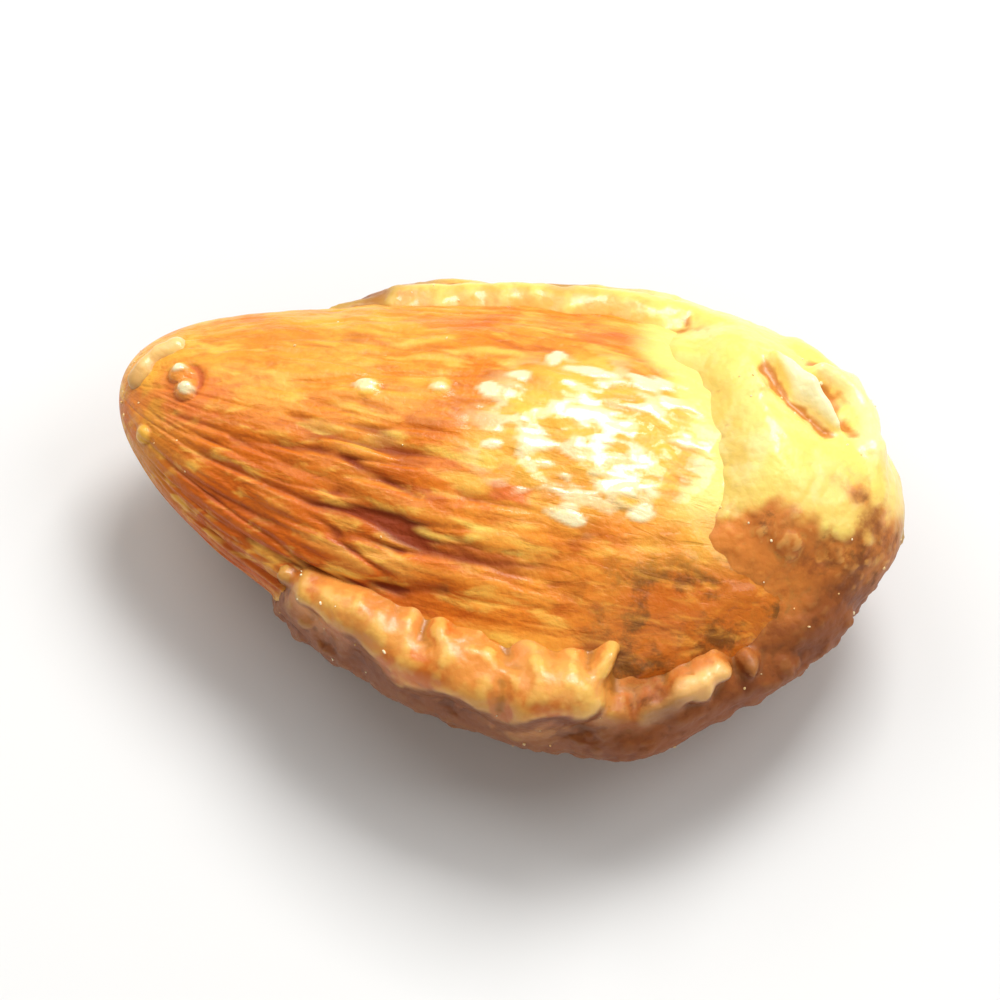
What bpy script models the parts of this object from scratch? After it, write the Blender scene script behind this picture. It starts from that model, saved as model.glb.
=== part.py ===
"""One toffee almond: a whole almond in its ridged skin, with a set coat of butter toffee.

The almond lies on one broad side. Its length runs along X, with the tip at -X and the blunt
end at +X, its width along Y and its thickness along Z. The coat wraps the underside, both
edges and the blunt end, and leaves the skin bare in a window on the top and over the tip.
The coat has set flat where it lay on the tray, and that foot is the plane Z = 0.

Two solids: almond_kernel runs whole through the middle, and toffee_coat is a shell round it.
"""

import math

import bmesh
import bpy
from mathutils import Matrix, Vector, noise

MM = 0.001

# The kernel, without its skin's ridges
KERNEL_LENGTH = 26.8 * MM
KERNEL_WIDTH = 14.5 * MM
KERNEL_THICKNESS = 8.6 * MM
KERNEL_CENTRE = Vector((-0.60, 1.40, 5.05)) * MM
BELLY_BOW = 1.4 * MM  # how far the middle of the length bows towards the front edge
LENS_EDGE = 0.14  # how much thinner than an ellipse the section is near its two edges
# Against an ellipse, the width goes from the first share at the tip to the second near the end
TIP_WIDTH, END_WIDTH = 0.80, 1.20
TIP_THICKNESS, END_THICKNESS = 0.84, 1.06

# The skin's ridges, which run from the tip to the blunt end
RIDGES = 22
RIDGE_HEIGHT = 0.16 * MM
RIDGE_WANDER = 0.9  # in ridges
RIDGE_WANDER_LENGTH = 6.0 * MM

# The coat
COAT_GAP = 0.3 * MM
COAT_DEPTH = 0.85 * MM
COAT_UNEVENNESS = 0.3
COAT_UNEVEN_LENGTH = 4.6 * MM
TIP_THINNING = 0.6  # the share of its thickness that the coat loses towards the tip
THINNING_FROM_X, THINNING_TO_X = -2.5 * MM, -8.0 * MM
SWELL = 0.16 * MM
SWELL_LENGTH = 2.1 * MM
RIM_WIDTH = 0.75 * MM  # how far in from its edge the coat reaches its full depth
RIM_SINK = 0.6 * MM  # how far under the skin the coat's outer form runs in the window
RIM_WANDER = 0.9 * MM
RIM_WANDER_LENGTH = 2.8 * MM
NODULE_SIZE = 2.2 * MM
NODULE_HEIGHT = 0.3 * MM
FILLET = 0.3 * MM  # where a rope or a bead flows into the coat

# The window's edges. Angles go round the length: 0 is the back edge, 90 the top, 180 the front.
CAP_EDGE_BACK_X, CAP_EDGE_FRONT_X = 5.1 * MM, 8.2 * MM
CAP_BACK_ANGLE, CAP_FRONT_ANGLE = 26.0, 102.0
CAP_FOOT_ANGLE = 108.0  # below this the skin is bare again, up to the blunt end
END_EDGE_X = 11.5 * MM
TIP_EDGE_X = -11.9 * MM
TIP_BACK_ANGLE, BODY_BACK_ANGLE = -24.0, 11.0
TIP_FRONT_ANGLE, ROLL_FRONT_ANGLE, BODY_FRONT_ANGLE = 234.0, 160.0, 149.0
TIP_ENDS_X, BODY_STARTS_X = -7.6 * MM, -5.2 * MM
ROLL_STARTS_X, ROLL_ENDS_X = -4.0 * MM, 1.0 * MM
UNDERSIDE_ANGLE = -90.0  # where the count of angles starts and ends

# Broad lumps of the coat: place along X, angle, radius, height
LUMPS = (
    (9.9 * MM, 78.0, 4.2 * MM, 0.45 * MM),
    (8.5 * MM, 44.0, 2.8 * MM, 0.45 * MM),
    (12.6 * MM, 70.0, 2.6 * MM, 0.40 * MM),
    (8.9 * MM, 100.0, 1.6 * MM, 0.25 * MM),
    (-3.6 * MM, 165.0, 1.6 * MM, 0.25 * MM),
    (-0.9 * MM, 163.0, 2.0 * MM, 0.60 * MM),
    (3.2 * MM, 162.0, 2.2 * MM, 0.80 * MM),
    (7.9 * MM, 162.0, 1.3 * MM, 0.40 * MM),
    (2.7 * MM, 190.0, 3.6 * MM, 0.35 * MM),
    (6.9 * MM, 190.0, 2.8 * MM, 0.60 * MM),
    (-3.2 * MM, -12.0, 2.2 * MM, 0.30 * MM),
    (2.8 * MM, -6.0, 3.2 * MM, 0.15 * MM),
    (9.8 * MM, 4.0, 2.4 * MM, 0.20 * MM),
    (-6.5 * MM, -38.0, 2.2 * MM, 0.35 * MM),
    (1.6 * MM, 268.0, 7.5 * MM, 0.35 * MM),
)

# Ropes of toffee: the places and angles they run through, their start and end radii and heights
ROPES = (
    # the tongue on the cap, the curl beyond it and the lip at the end
    (((8.3, 39.0), (9.3, 45.0), (10.2, 49.0), (10.9, 54.0)), (1.3, 1.0), (2.1, 1.8)),
    (((9.5, 20.0), (10.8, 21.0), (11.9, 30.0), (12.5, 52.0)), (1.2, 1.3), (1.5, 1.7)),
    (((12.5, 52.0), (12.7, 75.0), (11.9, 94.0)), (1.3, 1.4), (1.7, 1.1)),
    # the thin rope along the back edge
    (((-7.0, 10.0), (-4.5, 12.0)), (0.8, 1.1), (0.2, 0.7)),
    (((-4.5, 12.0), (-1.0, 14.0), (5.0, 20.0)), (1.1, 1.1), (0.75, 0.8)),
    # the two rolls on the front edge, the thumb that stands on them and the crag
    (((-4.3, 160.0), (-1.7, 158.0), (1.7, 159.0)), (1.2, 1.6), (0.9, 1.75)),
    (((3.0, 158.0), (5.2, 155.0)), (1.6, 1.5), (1.85, 1.9)),
    (((5.7, 152.0), (5.95, 145.0)), (1.1, 1.0), (1.75, 1.15)),
    (((7.6, 160.0), (8.8, 153.0), (9.6, 148.0)), (1.1, 1.0), (1.3, 1.05)),
)

# Creases: the places and angles they run through, width and depth
CREASES = (
    (((8.3, 49.0), (9.5, 57.0), (10.5, 62.0), (11.5, 66.0)), 0.6, 0.5),
    (((2.3, 146.0), (2.5, 166.0)), 0.55, 0.3),
    (((-4.3, 171.0), (-0.7, 174.0), (3.3, 173.0), (7.7, 171.0)), 0.6, 0.35),
)

KERNEL_SEGMENTS, KERNEL_RINGS = 88, 24
CUTTER_SEGMENTS, CUTTER_RINGS = 34, 20
COAT_CUTS = 32


def smooth_step(value, start, end):
    """0 before start, 1 after end, and a smooth rise between them."""
    share = min(max((value - start) / (end - start), 0.0), 1.0)
    return share * share * (3.0 - 2.0 * share)


def kernel_point(unit):
    """The point of the smooth kernel that a point of the unit sphere stands for."""
    along = unit.x
    fullness = smooth_step(along, -0.9, 0.8)
    width = TIP_WIDTH + (END_WIDTH - TIP_WIDTH) * fullness
    thickness = TIP_THICKNESS + (END_THICKNESS - TIP_THICKNESS) * fullness
    round_x = math.hypot(unit.y, unit.z)
    lens = 1.0 - LENS_EDGE * (1.0 - abs(unit.z) / round_x) if round_x > 0.0 else 1.0
    return KERNEL_CENTRE + Vector(
        (
            0.5 * KERNEL_LENGTH * along,
            0.5 * KERNEL_WIDTH * width * unit.y - BELLY_BOW * (1.0 - along**2),
            0.5 * KERNEL_THICKNESS * thickness * lens * unit.z,
        )
    )


def outward(unit):
    """The direction that points straight out of the kernel's skin."""
    sides = Vector((KERNEL_LENGTH, KERNEL_WIDTH, KERNEL_THICKNESS))
    return Vector(u / side for u, side in zip(unit, sides)).normalized()


def angle_of(unit):
    """Degrees round the length, from the underside over the back, the top and the front."""
    angle = math.degrees(math.atan2(unit.z, unit.y))
    return angle if angle >= UNDERSIDE_ANGLE else angle + 360.0


def unit_at(place_x, angle):
    """The point of the unit sphere at that place along the kernel and that angle round it."""
    along = 2.0 * place_x / KERNEL_LENGTH
    round_x = math.sqrt(max(1.0 - along**2, 0.0))
    turn = math.radians(angle)
    return Vector((along, round_x * math.cos(turn), round_x * math.sin(turn)))


def ridge_height(unit):
    """How far the skin stands out from the smooth kernel: broad crests and narrow grooves."""
    place = kernel_point(unit)
    wander = RIDGE_WANDER * noise.noise(place / RIDGE_WANDER_LENGTH)
    turn = math.radians(angle_of(unit)) * RIDGES + math.tau * wander
    fade = math.sqrt(max(1.0 - unit.x**2, 0.0))
    return RIDGE_HEIGHT * fade * (abs(math.cos(0.5 * turn)) - 0.5)


def cover(unit):
    """How far a place is inside the coat's edge. It is negative on the bare skin."""
    place = kernel_point(unit) - KERNEL_CENTRE
    body = smooth_step(place.x, TIP_ENDS_X, BODY_STARTS_X)
    belly = smooth_step(place.x, ROLL_STARTS_X, ROLL_ENDS_X)
    roll = ROLL_FRONT_ANGLE + (BODY_FRONT_ANGLE - ROLL_FRONT_ANGLE) * belly
    back = TIP_BACK_ANGLE + (BODY_BACK_ANGLE - TIP_BACK_ANGLE) * body
    front = TIP_FRONT_ANGLE + (roll - TIP_FRONT_ANGLE) * body
    angle = angle_of(unit)
    reach = Vector((place.y, place.z)).length
    round_cap = smooth_step(angle, CAP_BACK_ANGLE, CAP_FRONT_ANGLE)
    cap_edge = CAP_EDGE_BACK_X + (CAP_EDGE_FRONT_X - CAP_EDGE_BACK_X) * round_cap
    inside = max(
        min(place.x - cap_edge, math.radians(CAP_FOOT_ANGLE - angle) * reach),
        math.radians(angle - front) * reach,
        math.radians(back - angle) * reach,
        place.x - END_EDGE_X,
    )
    inside = min(inside, place.x - TIP_EDGE_X)
    return inside + RIM_WANDER * noise.noise(place / RIM_WANDER_LENGTH)


def lump_height(place):
    """The joined height of the lumps at a place on the kernel."""
    total = 0.0
    for lump_x, angle, radius, height in LUMPS:
        away = (place - kernel_point(unit_at(lump_x, angle))).length / radius
        if away < 1.0:
            total += (height * (1.0 - away**2)) ** 4
    return total**0.25


def route_share(route, place):
    """How far a place is from a route over the kernel, and the share of the route run there."""
    stops = [kernel_point(unit_at(along * MM, angle)) for along, angle in route]
    best = (math.inf, 0.0)
    for leg, (start, end) in enumerate(zip(stops[:-1], stops[1:])):
        run = end - start
        share = min(max((place - start).dot(run) / run.length_squared, 0.0), 1.0)
        away = (place - start - share * run).length
        best = min(best, (away, (leg + share) / (len(stops) - 1)))
    return best


def smooth_maximum(first, second):
    """The higher of two heights, with a rounded inner corner where they meet."""
    near = max(FILLET - abs(first - second), 0.0)
    return max(first, second) + near**2 / (4.0 * FILLET)


def coat_depth(unit):
    """How far the coat's outer form stands out from the smooth kernel."""
    place = kernel_point(unit)
    full = COAT_DEPTH * (1.0 + COAT_UNEVENNESS * noise.noise(place / COAT_UNEVEN_LENGTH))
    full += SWELL * noise.noise(place / SWELL_LENGTH) + lump_height(place)
    nearest = noise.voronoi(place / NODULE_SIZE)[0][0]
    full += NODULE_HEIGHT * max(1.0 - nearest**2, 0.0)
    along = place.x - KERNEL_CENTRE.x
    full *= 1.0 - TIP_THINNING * smooth_step(along, THINNING_FROM_X, THINNING_TO_X)
    share = min(max(0.5 + 0.5 * cover(unit) / RIM_WIDTH, 0.0), 1.0)
    depth = (full + RIM_SINK) * share - RIM_SINK
    for route, radii, heights in ROPES:
        away, done = route_share(route, place)
        radius = (radii[0] + (radii[1] - radii[0]) * done) * MM
        height = (heights[0] + (heights[1] - heights[0]) * done) * MM
        bulge = max(1.0 - (away / radius) ** 2, 0.0)
        depth = smooth_maximum(depth, (height + RIM_SINK) * bulge - RIM_SINK)
    cut = 0.0
    for route, width, deepest in CREASES:
        away, _ = route_share(route, place)
        cut = max(cut, deepest * MM * math.exp(-((away / (width * MM)) ** 2)))
    return depth - cut * smooth_step(depth, 0.0, 0.4 * MM)


def material(name, colour, roughness):
    """A Principled material of one colour."""
    made = bpy.data.materials.new(name)
    made.use_nodes = True
    shader = made.node_tree.nodes["Principled BSDF"]
    shader.inputs["Base Color"].default_value = (*colour, 1.0)
    shader.inputs["Roughness"].default_value = roughness
    shader.inputs["Metallic"].default_value = 0.0
    return made


def named_object(name, mesh, collection, finish=None):
    """A smooth-shaded object made from a bmesh."""
    data = bpy.data.meshes.new(name)
    mesh.to_mesh(data)
    mesh.free()
    data.shade_smooth()
    if finish:
        data.materials.append(finish)
    made = bpy.data.objects.new(name, data)
    collection.objects.link(made)
    return made


def lengthwise_sphere(segments, rings):
    """A unit sphere whose poles are at the kernel's two ends."""
    mesh = bmesh.new()
    bmesh.ops.create_uvsphere(mesh, u_segments=segments, v_segments=rings, radius=1.0)
    bmesh.ops.rotate(mesh, verts=mesh.verts, matrix=Matrix.Rotation(0.5 * math.pi, 3, "Y"))
    return mesh


def even_sphere(cuts):
    """A cube cut into a grid and rounded to a unit sphere, so that its faces are even."""
    mesh = bmesh.new()
    bmesh.ops.create_cube(mesh, size=2.0)
    bmesh.ops.subdivide_edges(mesh, edges=mesh.edges[:], cuts=cuts, use_grid_fill=True)
    for vert in mesh.verts:
        vert.co = Vector(math.tan(0.25 * math.pi * c) for c in vert.co).normalized()
    return mesh


def build_kernel(collection):
    """The whole almond, with the ridges of its skin."""
    mesh = lengthwise_sphere(KERNEL_SEGMENTS, KERNEL_RINGS)
    for vert in mesh.verts:
        unit = vert.co.copy()
        vert.co = kernel_point(unit) + outward(unit) * ridge_height(unit)
    skin = material("almond_skin", (0.42, 0.15, 0.04), 0.45)
    return named_object("almond_kernel", mesh, collection, skin)


def build_room_for_kernel(collection):
    """The cutter that hollows the coat: the kernel, grown by its ridges and the gap."""
    mesh = lengthwise_sphere(CUTTER_SEGMENTS, CUTTER_RINGS)
    growth = COAT_GAP + 0.75 * RIDGE_HEIGHT
    for vert in mesh.verts:
        unit = vert.co.copy()
        vert.co = kernel_point(unit) + outward(unit) * growth
    room = named_object("room_for_kernel", mesh, collection)
    room.hide_render = True
    room.display_type = "WIRE"
    return room


def build_coat(collection, room):
    """The toffee: its outer form with its foot set flat, less the room for the kernel."""
    mesh = even_sphere(COAT_CUTS)
    for vert in mesh.verts:
        unit = vert.co.copy()
        place = kernel_point(unit) + outward(unit) * coat_depth(unit)
        place.z = max(place.z, 0.0)
        vert.co = place
    toffee = material("toffee", (0.72, 0.40, 0.13), 0.30)
    coat = named_object("toffee_coat", mesh, collection, toffee)
    hollow = coat.modifiers.new("room for the kernel", "BOOLEAN")
    hollow.operation = "DIFFERENCE"
    hollow.object = room
    return coat


def main():
    for old in list(bpy.data.objects):
        bpy.data.objects.remove(old)
    almond = bpy.data.collections.new("toffee_almond")
    cutters = bpy.data.collections.new("cutters")
    bpy.context.scene.collection.children.link(almond)
    bpy.context.scene.collection.children.link(cutters)
    build_kernel(almond)
    build_coat(almond, build_room_for_kernel(cutters))


main()
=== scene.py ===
"""Looks of one toffee almond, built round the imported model.

The almond lies on one broad side, with its tip at -X and its blunt end at +X. A ridged skin stands
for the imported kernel, and a poured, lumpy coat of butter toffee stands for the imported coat. Sugar
grains lie on both. All lengths are in metres, and angles go round the almond's length in degrees:
0 is the back edge, 90 the top and 180 the front edge.
"""

from __future__ import annotations

import logging
import math
from dataclasses import dataclass
from enum import Enum

import bmesh
import bpy
import numpy as np
from mathutils import Matrix, Vector, noise
from mathutils.bvhtree import BVHTree

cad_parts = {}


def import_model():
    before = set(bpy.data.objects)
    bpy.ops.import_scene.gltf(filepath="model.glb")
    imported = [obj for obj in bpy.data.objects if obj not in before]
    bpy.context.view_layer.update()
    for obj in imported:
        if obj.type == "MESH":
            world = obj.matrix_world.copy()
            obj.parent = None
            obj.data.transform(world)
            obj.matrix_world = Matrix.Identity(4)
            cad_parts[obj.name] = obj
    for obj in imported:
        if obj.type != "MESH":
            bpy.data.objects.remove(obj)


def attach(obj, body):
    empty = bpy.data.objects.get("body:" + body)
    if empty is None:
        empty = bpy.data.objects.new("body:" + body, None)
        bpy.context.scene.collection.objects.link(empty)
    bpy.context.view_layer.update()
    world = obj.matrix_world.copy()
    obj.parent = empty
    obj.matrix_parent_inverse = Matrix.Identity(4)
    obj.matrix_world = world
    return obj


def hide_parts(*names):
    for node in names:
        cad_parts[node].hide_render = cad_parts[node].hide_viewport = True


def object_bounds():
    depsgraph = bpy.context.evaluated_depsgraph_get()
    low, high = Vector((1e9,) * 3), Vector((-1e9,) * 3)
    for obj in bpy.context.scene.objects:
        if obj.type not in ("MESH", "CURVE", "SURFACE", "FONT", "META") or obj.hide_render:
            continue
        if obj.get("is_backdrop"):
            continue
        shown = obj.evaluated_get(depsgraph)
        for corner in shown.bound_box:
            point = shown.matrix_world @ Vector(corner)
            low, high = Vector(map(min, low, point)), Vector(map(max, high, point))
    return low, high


MM = 0.001
Array = np.ndarray
Colour = tuple[float, float, float]
log = logging.getLogger("toffee_almond")


def tone(red: int, green: int, blue: int) -> Colour:
    """Turns a colour as a screen shows it, 0 to 255, into the linear colour that a shader takes.

    Args:
        red: The screen's red.
        green: The screen's green.
        blue: The screen's blue.

    Returns:
        The linear colour, 0 to 1.
    """
    linear = []
    for value in (red, green, blue):
        share = value / 255.0
        linear.append(share / 12.92 if share <= 0.04045 else ((share + 0.055) / 1.055) ** 2.4)
    return tuple(linear)


def smooth_step(values: Array, start: float, end: float) -> Array:
    """Rises smoothly from 0 at start to 1 at end.

    Args:
        values: Where to read the rise.
        start: The value at which it leaves 0.
        end: The value at which it reaches 1.

    Returns:
        The rise at each value.
    """
    share = np.clip((values - start) / (end - start), 0.0, 1.0)
    return share * share * (3.0 - 2.0 * share)


@dataclass(frozen=True)
class Span:
    """Two limits between which something comes or goes smoothly."""

    start: float
    end: float

    def rise(self, values: Array) -> Array:
        """Rises from 0 at the start to 1 at the end."""
        return smooth_step(values, self.start, self.end)

    def fall(self, values: Array) -> Array:
        """Falls from 1 at the start to 0 at the end."""
        return 1.0 - smooth_step(values, self.start, self.end)


def noise_at(points: Array, size: float | Array, shift: float = 0.0) -> Array:
    """Reads smooth noise, from about -1 to 1.

    Args:
        points: The places, one in each row.
        size: The length of one wave, or one for each axis.
        shift: How far to move along each axis, in waves, so that two readings differ.

    Returns:
        The noise at each place.
    """
    scaled = (points / size + shift).tolist()
    return np.fromiter((noise.noise(p) for p in scaled), float, len(scaled))


def dome(distance: Array) -> Array:
    """The height of a round dome, 1 at its middle and 0 from distance 1 outwards."""
    return np.sqrt(np.clip(1.0 - distance**2, 0.0, 1.0))


def nodules(points: Array, size: float, share: float, shift: float = 0.0) -> Array:
    """Scatters round nodules of random sizes over a surface.

    Args:
        points: The places, one in each row.
        size: The distance between nodules, if every one were there.
        share: How many of them are there, from 0 to 1.
        shift: How far to move the pattern, in cells.

    Returns:
        The height of the nodules at each place: 1 is the tallest that there can be.
    """
    scaled = points / size + shift
    bends = [noise_at(scaled, 0.6, offset) for offset in (3.7, 9.1, 14.9)]
    scaled = scaled + 0.16 * np.column_stack(bends)
    heights = []
    for place in scaled.tolist():
        distances, centres = noise.voronoi(place)
        highest = 0.0
        for distance, centre in zip(distances[:3], centres[:3]):
            chance = 0.5 + 0.5 * noise.cell(centre)
            if chance < share:
                radius = 0.25 + 0.5 * (chance / share) ** 2
                if distance < radius:
                    highest = max(highest, math.sqrt(radius**2 - distance**2))
        heights.append(highest)
    return np.array(heights) / 0.75


def smooth_union(heights: list[Array], sharpness: float = 4.0) -> Array:
    """Joins the heights of lumps so that they flow into each other."""
    total = sum(height**sharpness for height in heights)
    return total ** (1.0 / sharpness)


def smooth_maximum(first: Array, second: Array, fillet: float) -> Array:
    """The higher of two heights, with a rounded inner corner where they meet."""
    near = np.clip(fillet - np.abs(first - second), 0.0, None)
    return np.maximum(first, second) + near**2 / (4.0 * fillet)


@dataclass(frozen=True)
class SurfaceMesh:
    """The points, edges and normals of a mesh, for working on its relief."""

    mesh: bpy.types.Mesh

    def points(self) -> Array:
        """Reads all points.

        Returns:
            The points, one in each row.
        """
        flat = np.empty(len(self.mesh.vertices) * 3)
        self.mesh.vertices.foreach_get("co", flat)
        return flat.reshape(-1, 3)

    def move_to(self, points: Array) -> None:
        """Moves every point."""
        self.mesh.vertices.foreach_set("co", points.ravel())
        self.mesh.update()

    def normals(self) -> Array:
        """Reads the normal at each point.

        Returns:
            The normals, one in each row.
        """
        flat = np.empty(len(self.mesh.vertices) * 3, dtype=np.float32)
        self.mesh.vertex_normals.foreach_get("vector", flat)
        return flat.reshape(-1, 3).astype(float)

    def spread(self, values: Array, rounds: int, share: float = 0.6) -> Array:
        """Evens values out between neighbouring points.

        Args:
            values: One value or one row for each point.
            rounds: How many times to do it.
            share: How far each point moves to its neighbours' mean in one round.

        Returns:
            The evened values.
        """
        count = len(self.mesh.vertices)
        ends = np.empty(len(self.mesh.edges) * 2, dtype=np.int32)
        self.mesh.edges.foreach_get("vertices", ends)
        first, second = ends[0::2], ends[1::2]
        degree = np.maximum(np.bincount(ends, minlength=count), 1)
        columns = values.reshape(count, -1).copy()
        for _ in range(rounds):
            for column in range(columns.shape[1]):
                here = columns[:, column]
                total = np.bincount(first, here[second], count)
                total += np.bincount(second, here[first], count)
                columns[:, column] = here + share * (total / degree - here)
        return columns.reshape(values.shape)

    def store(self, name: str, values: Array) -> None:
        """Keeps a value for each point under a name, for a material to read."""
        layer = self.mesh.attributes.new(name, "FLOAT", "POINT")
        layer.data.foreach_set("value", values.astype(np.float32))


def new_object(name: str, mesh: bpy.types.Mesh) -> bpy.types.Object:
    """Puts a mesh in the scene.

    Args:
        name: The new object's name.
        mesh: Its mesh.

    Returns:
        The new object.
    """
    made = bpy.data.objects.new(name, mesh)
    bpy.context.scene.collection.objects.link(made)
    return made


def settle(piece: bpy.types.Object) -> None:
    """Applies a piece's modifiers to its mesh.

    Args:
        piece: The piece, which has none of them afterwards.
    """
    depsgraph = bpy.context.evaluated_depsgraph_get()
    settled = bpy.data.meshes.new_from_object(piece.evaluated_get(depsgraph))
    piece.modifiers.clear()
    old = piece.data
    piece.data = settled
    settled.name = piece.name
    bpy.data.meshes.remove(old)


@dataclass(frozen=True)
class KernelForm:
    """The almond without its ridges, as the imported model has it."""

    length: float = 26.8 * MM
    width: float = 14.5 * MM
    thickness: float = 8.6 * MM
    centre: tuple[float, float, float] = (-0.60 * MM, 1.40 * MM, 5.05 * MM)
    belly_bow: float = 1.4 * MM
    lens_edge: float = 0.14
    tip_width: float = 0.80
    end_width: float = 1.20
    tip_thickness: float = 0.84
    end_thickness: float = 1.06
    leg_steps: int = 4

    def surface(self, units: Array) -> Array:
        """Finds the almond's points.

        Args:
            units: Points of the unit sphere.

        Returns:
            The points of the smooth almond that they stand for.
        """
        along = units[:, 0]
        fullness = smooth_step(along, -0.9, 0.8)
        width = self.tip_width + (self.end_width - self.tip_width) * fullness
        thickness = self.tip_thickness + (self.end_thickness - self.tip_thickness) * fullness
        round_x = np.maximum(np.hypot(units[:, 1], units[:, 2]), 1e-9)
        lens = 1.0 - self.lens_edge * (1.0 - np.abs(units[:, 2]) / round_x)
        offsets = np.column_stack(
            (
                0.5 * self.length * along,
                0.5 * self.width * width * units[:, 1] - self.belly_bow * (1.0 - along**2),
                0.5 * self.thickness * thickness * lens * units[:, 2],
            )
        )
        return np.array(self.centre) + offsets

    def outward(self, units: Array) -> Array:
        """The directions that point straight out of the almond."""
        ways = units / np.array((self.length, self.width, self.thickness))
        return ways / np.linalg.norm(ways, axis=1)[:, None]

    def angles(self, units: Array) -> Array:
        """Degrees round the length, from -90 at the underside to 270."""
        turn = np.degrees(np.arctan2(units[:, 2], units[:, 1]))
        return np.where(turn >= -90.0, turn, turn + 360.0)

    def around(self, points: Array) -> tuple[Array, Array]:
        """Measures finished points from the almond's middle.

        Args:
            points: The points.

        Returns:
            The points from the middle, and their angles round the length, from -180 to 180.
        """
        where = points - np.array(self.centre)
        return where, np.degrees(np.arctan2(where[:, 2], where[:, 1]))

    def unit_at(self, place_x: float, angle: float) -> Array:
        """Finds the unit sphere's point for a place on the almond.

        Args:
            place_x: How far along the almond it is, from the middle.
            angle: The angle round it, in degrees.

        Returns:
            The point, as the one row of an array.
        """
        along = 2.0 * place_x / self.length
        round_x = math.sqrt(max(1.0 - along**2, 0.0))
        turn = math.radians(angle)
        return np.array([[along, round_x * math.cos(turn), round_x * math.sin(turn)]])

    def spot(self, place_x: float, angle: float, lift: float = 0.0) -> Array:
        """The point at a place along the almond and an angle round it, lifted off the skin."""
        unit = self.unit_at(place_x, angle)
        return (self.surface(unit) + self.outward(unit) * lift)[0]

    def route_share(
        self, route: tuple[tuple[float, float], ...], place: Array, lift: float = 0.0
    ) -> tuple[Array, Array]:
        """Measures each place against a route over the smooth almond.

        Args:
            route: Places along the almond, in millimetres, and angles round it.
            place: The places to measure.
            lift: How far the route is lifted off the almond.

        Returns:
            How far each is from the route, and how far along it the nearest point is, 0 to 1.
        """
        given = np.array(route)
        steps = np.linspace(0.0, len(given) - 1.0, self.leg_steps * (len(given) - 1) + 1)
        stops_x, turns = (np.interp(steps, np.arange(len(given)), column) for column in given.T)
        stops = np.array(
            [self.spot(along * MM, turn, lift) for along, turn in zip(stops_x, turns)]
        )
        nearest = np.full(len(place), np.inf)
        reached = np.zeros(len(place))
        for leg, (start, end) in enumerate(zip(stops[:-1], stops[1:])):
            run = end - start
            share = np.clip((place - start) @ run / (run @ run), 0.0, 1.0)
            away = np.linalg.norm(place - start - share[:, None] * run, axis=1)
            closer = away < nearest
            nearest = np.where(closer, away, nearest)
            reached = np.where(closer, (leg + share) / (len(stops) - 1), reached)
        return nearest, reached

    def lengthwise_mesh(self, segments: int, rings: int) -> tuple[bmesh.types.BMesh, Array]:
        """Makes a sphere whose poles are at the almond's ends.

        Args:
            segments: How many faces go round the length.
            rings: How many go along it.

        Returns:
            The mesh, still a unit sphere, and its points.
        """
        mesh = bmesh.new()
        bmesh.ops.create_uvsphere(mesh, u_segments=segments, v_segments=rings, radius=1.0)
        quarter = Matrix.Rotation(0.5 * math.pi, 3, "Y")
        bmesh.ops.rotate(mesh, verts=mesh.verts, matrix=quarter)
        return mesh, np.array([vert.co[:] for vert in mesh.verts])


@dataclass(frozen=True)
class Window:
    """Where the coat ends and the skin is bare."""

    form: KernelForm
    cap_edge_back: float = 4.9 * MM
    cap_edge_front: float = 8.1 * MM
    cap_back_angle: float = 26.0
    cap_front_angle: float = 102.0
    cap_foot_angle: float = 117.0
    end_edge: float = 9.8 * MM
    end_slant: float = 1.6 * MM
    end_slants: Span = Span(112.0, 134.0)
    end_corner: float = 1.5 * MM
    tip_edge: float = -11.9 * MM
    tip_back_angle: float = -24.0
    body_back_angle: float = 14.0
    tip_front_angle: float = 234.0
    roll_front_angle: float = 160.0
    body_front_angle: float = 149.0
    tip_ends: float = -7.6 * MM
    body_starts: float = -5.2 * MM
    belly: Span = Span(-4.0 * MM, 1.0 * MM)
    calm_from: Span = Span(92.0, 108.0)
    calm_to: Span = Span(130.0, 146.0)
    calm: float = 0.7
    fine_calm: float = 0.6
    wander: float = 0.9 * MM
    wander_length: float = 2.8 * MM
    fine_wander: float = 0.4 * MM
    fine_wander_length: float = 0.9 * MM

    def inside(self, units: Array, raggedness: float = 1.0) -> Array:
        """How far each place is inside the coat's edge, and below 0 on the bare skin.

        Args:
            units: Points of the unit sphere.
            raggedness: How much of the edge's wander to add.

        Returns:
            The distances from the edge.
        """
        place = self.form.surface(units) - np.array(self.form.centre)
        along = place[:, 0]
        body = smooth_step(along, self.tip_ends, self.body_starts)
        roll_angle, body_angle = self.roll_front_angle, self.body_front_angle
        roll = roll_angle + (body_angle - roll_angle) * self.belly.rise(along)
        back = self.tip_back_angle + (self.body_back_angle - self.tip_back_angle) * body
        front = self.tip_front_angle + (roll - self.tip_front_angle) * body
        angle = self.form.angles(units)
        reach = np.hypot(place[:, 1], place[:, 2])
        round_cap = smooth_step(angle, self.cap_back_angle, self.cap_front_angle)
        cap_edge = self.cap_edge_back + (self.cap_edge_front - self.cap_edge_back) * round_cap
        cap = np.minimum(along - cap_edge, np.radians(self.cap_foot_angle - angle) * reach)
        inside = np.maximum(np.radians(angle - front) * reach, np.radians(back - angle) * reach)
        end_edge = self.end_edge - self.end_slant * self.end_slants.fall(angle)
        inside = np.maximum(inside, smooth_maximum(cap, along - end_edge, self.end_corner))
        inside = np.minimum(inside, along - self.tip_edge)
        foot = self.calm_from.rise(angle) * self.calm_to.fall(angle)
        wander = self.wander * (1.0 - self.calm * foot) * noise_at(place, self.wander_length)
        fine = self.fine_wander * (1.0 - self.fine_calm * foot)
        wander += fine * noise_at(place, self.fine_wander_length, 7.3)
        return inside + raggedness * wander


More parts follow.
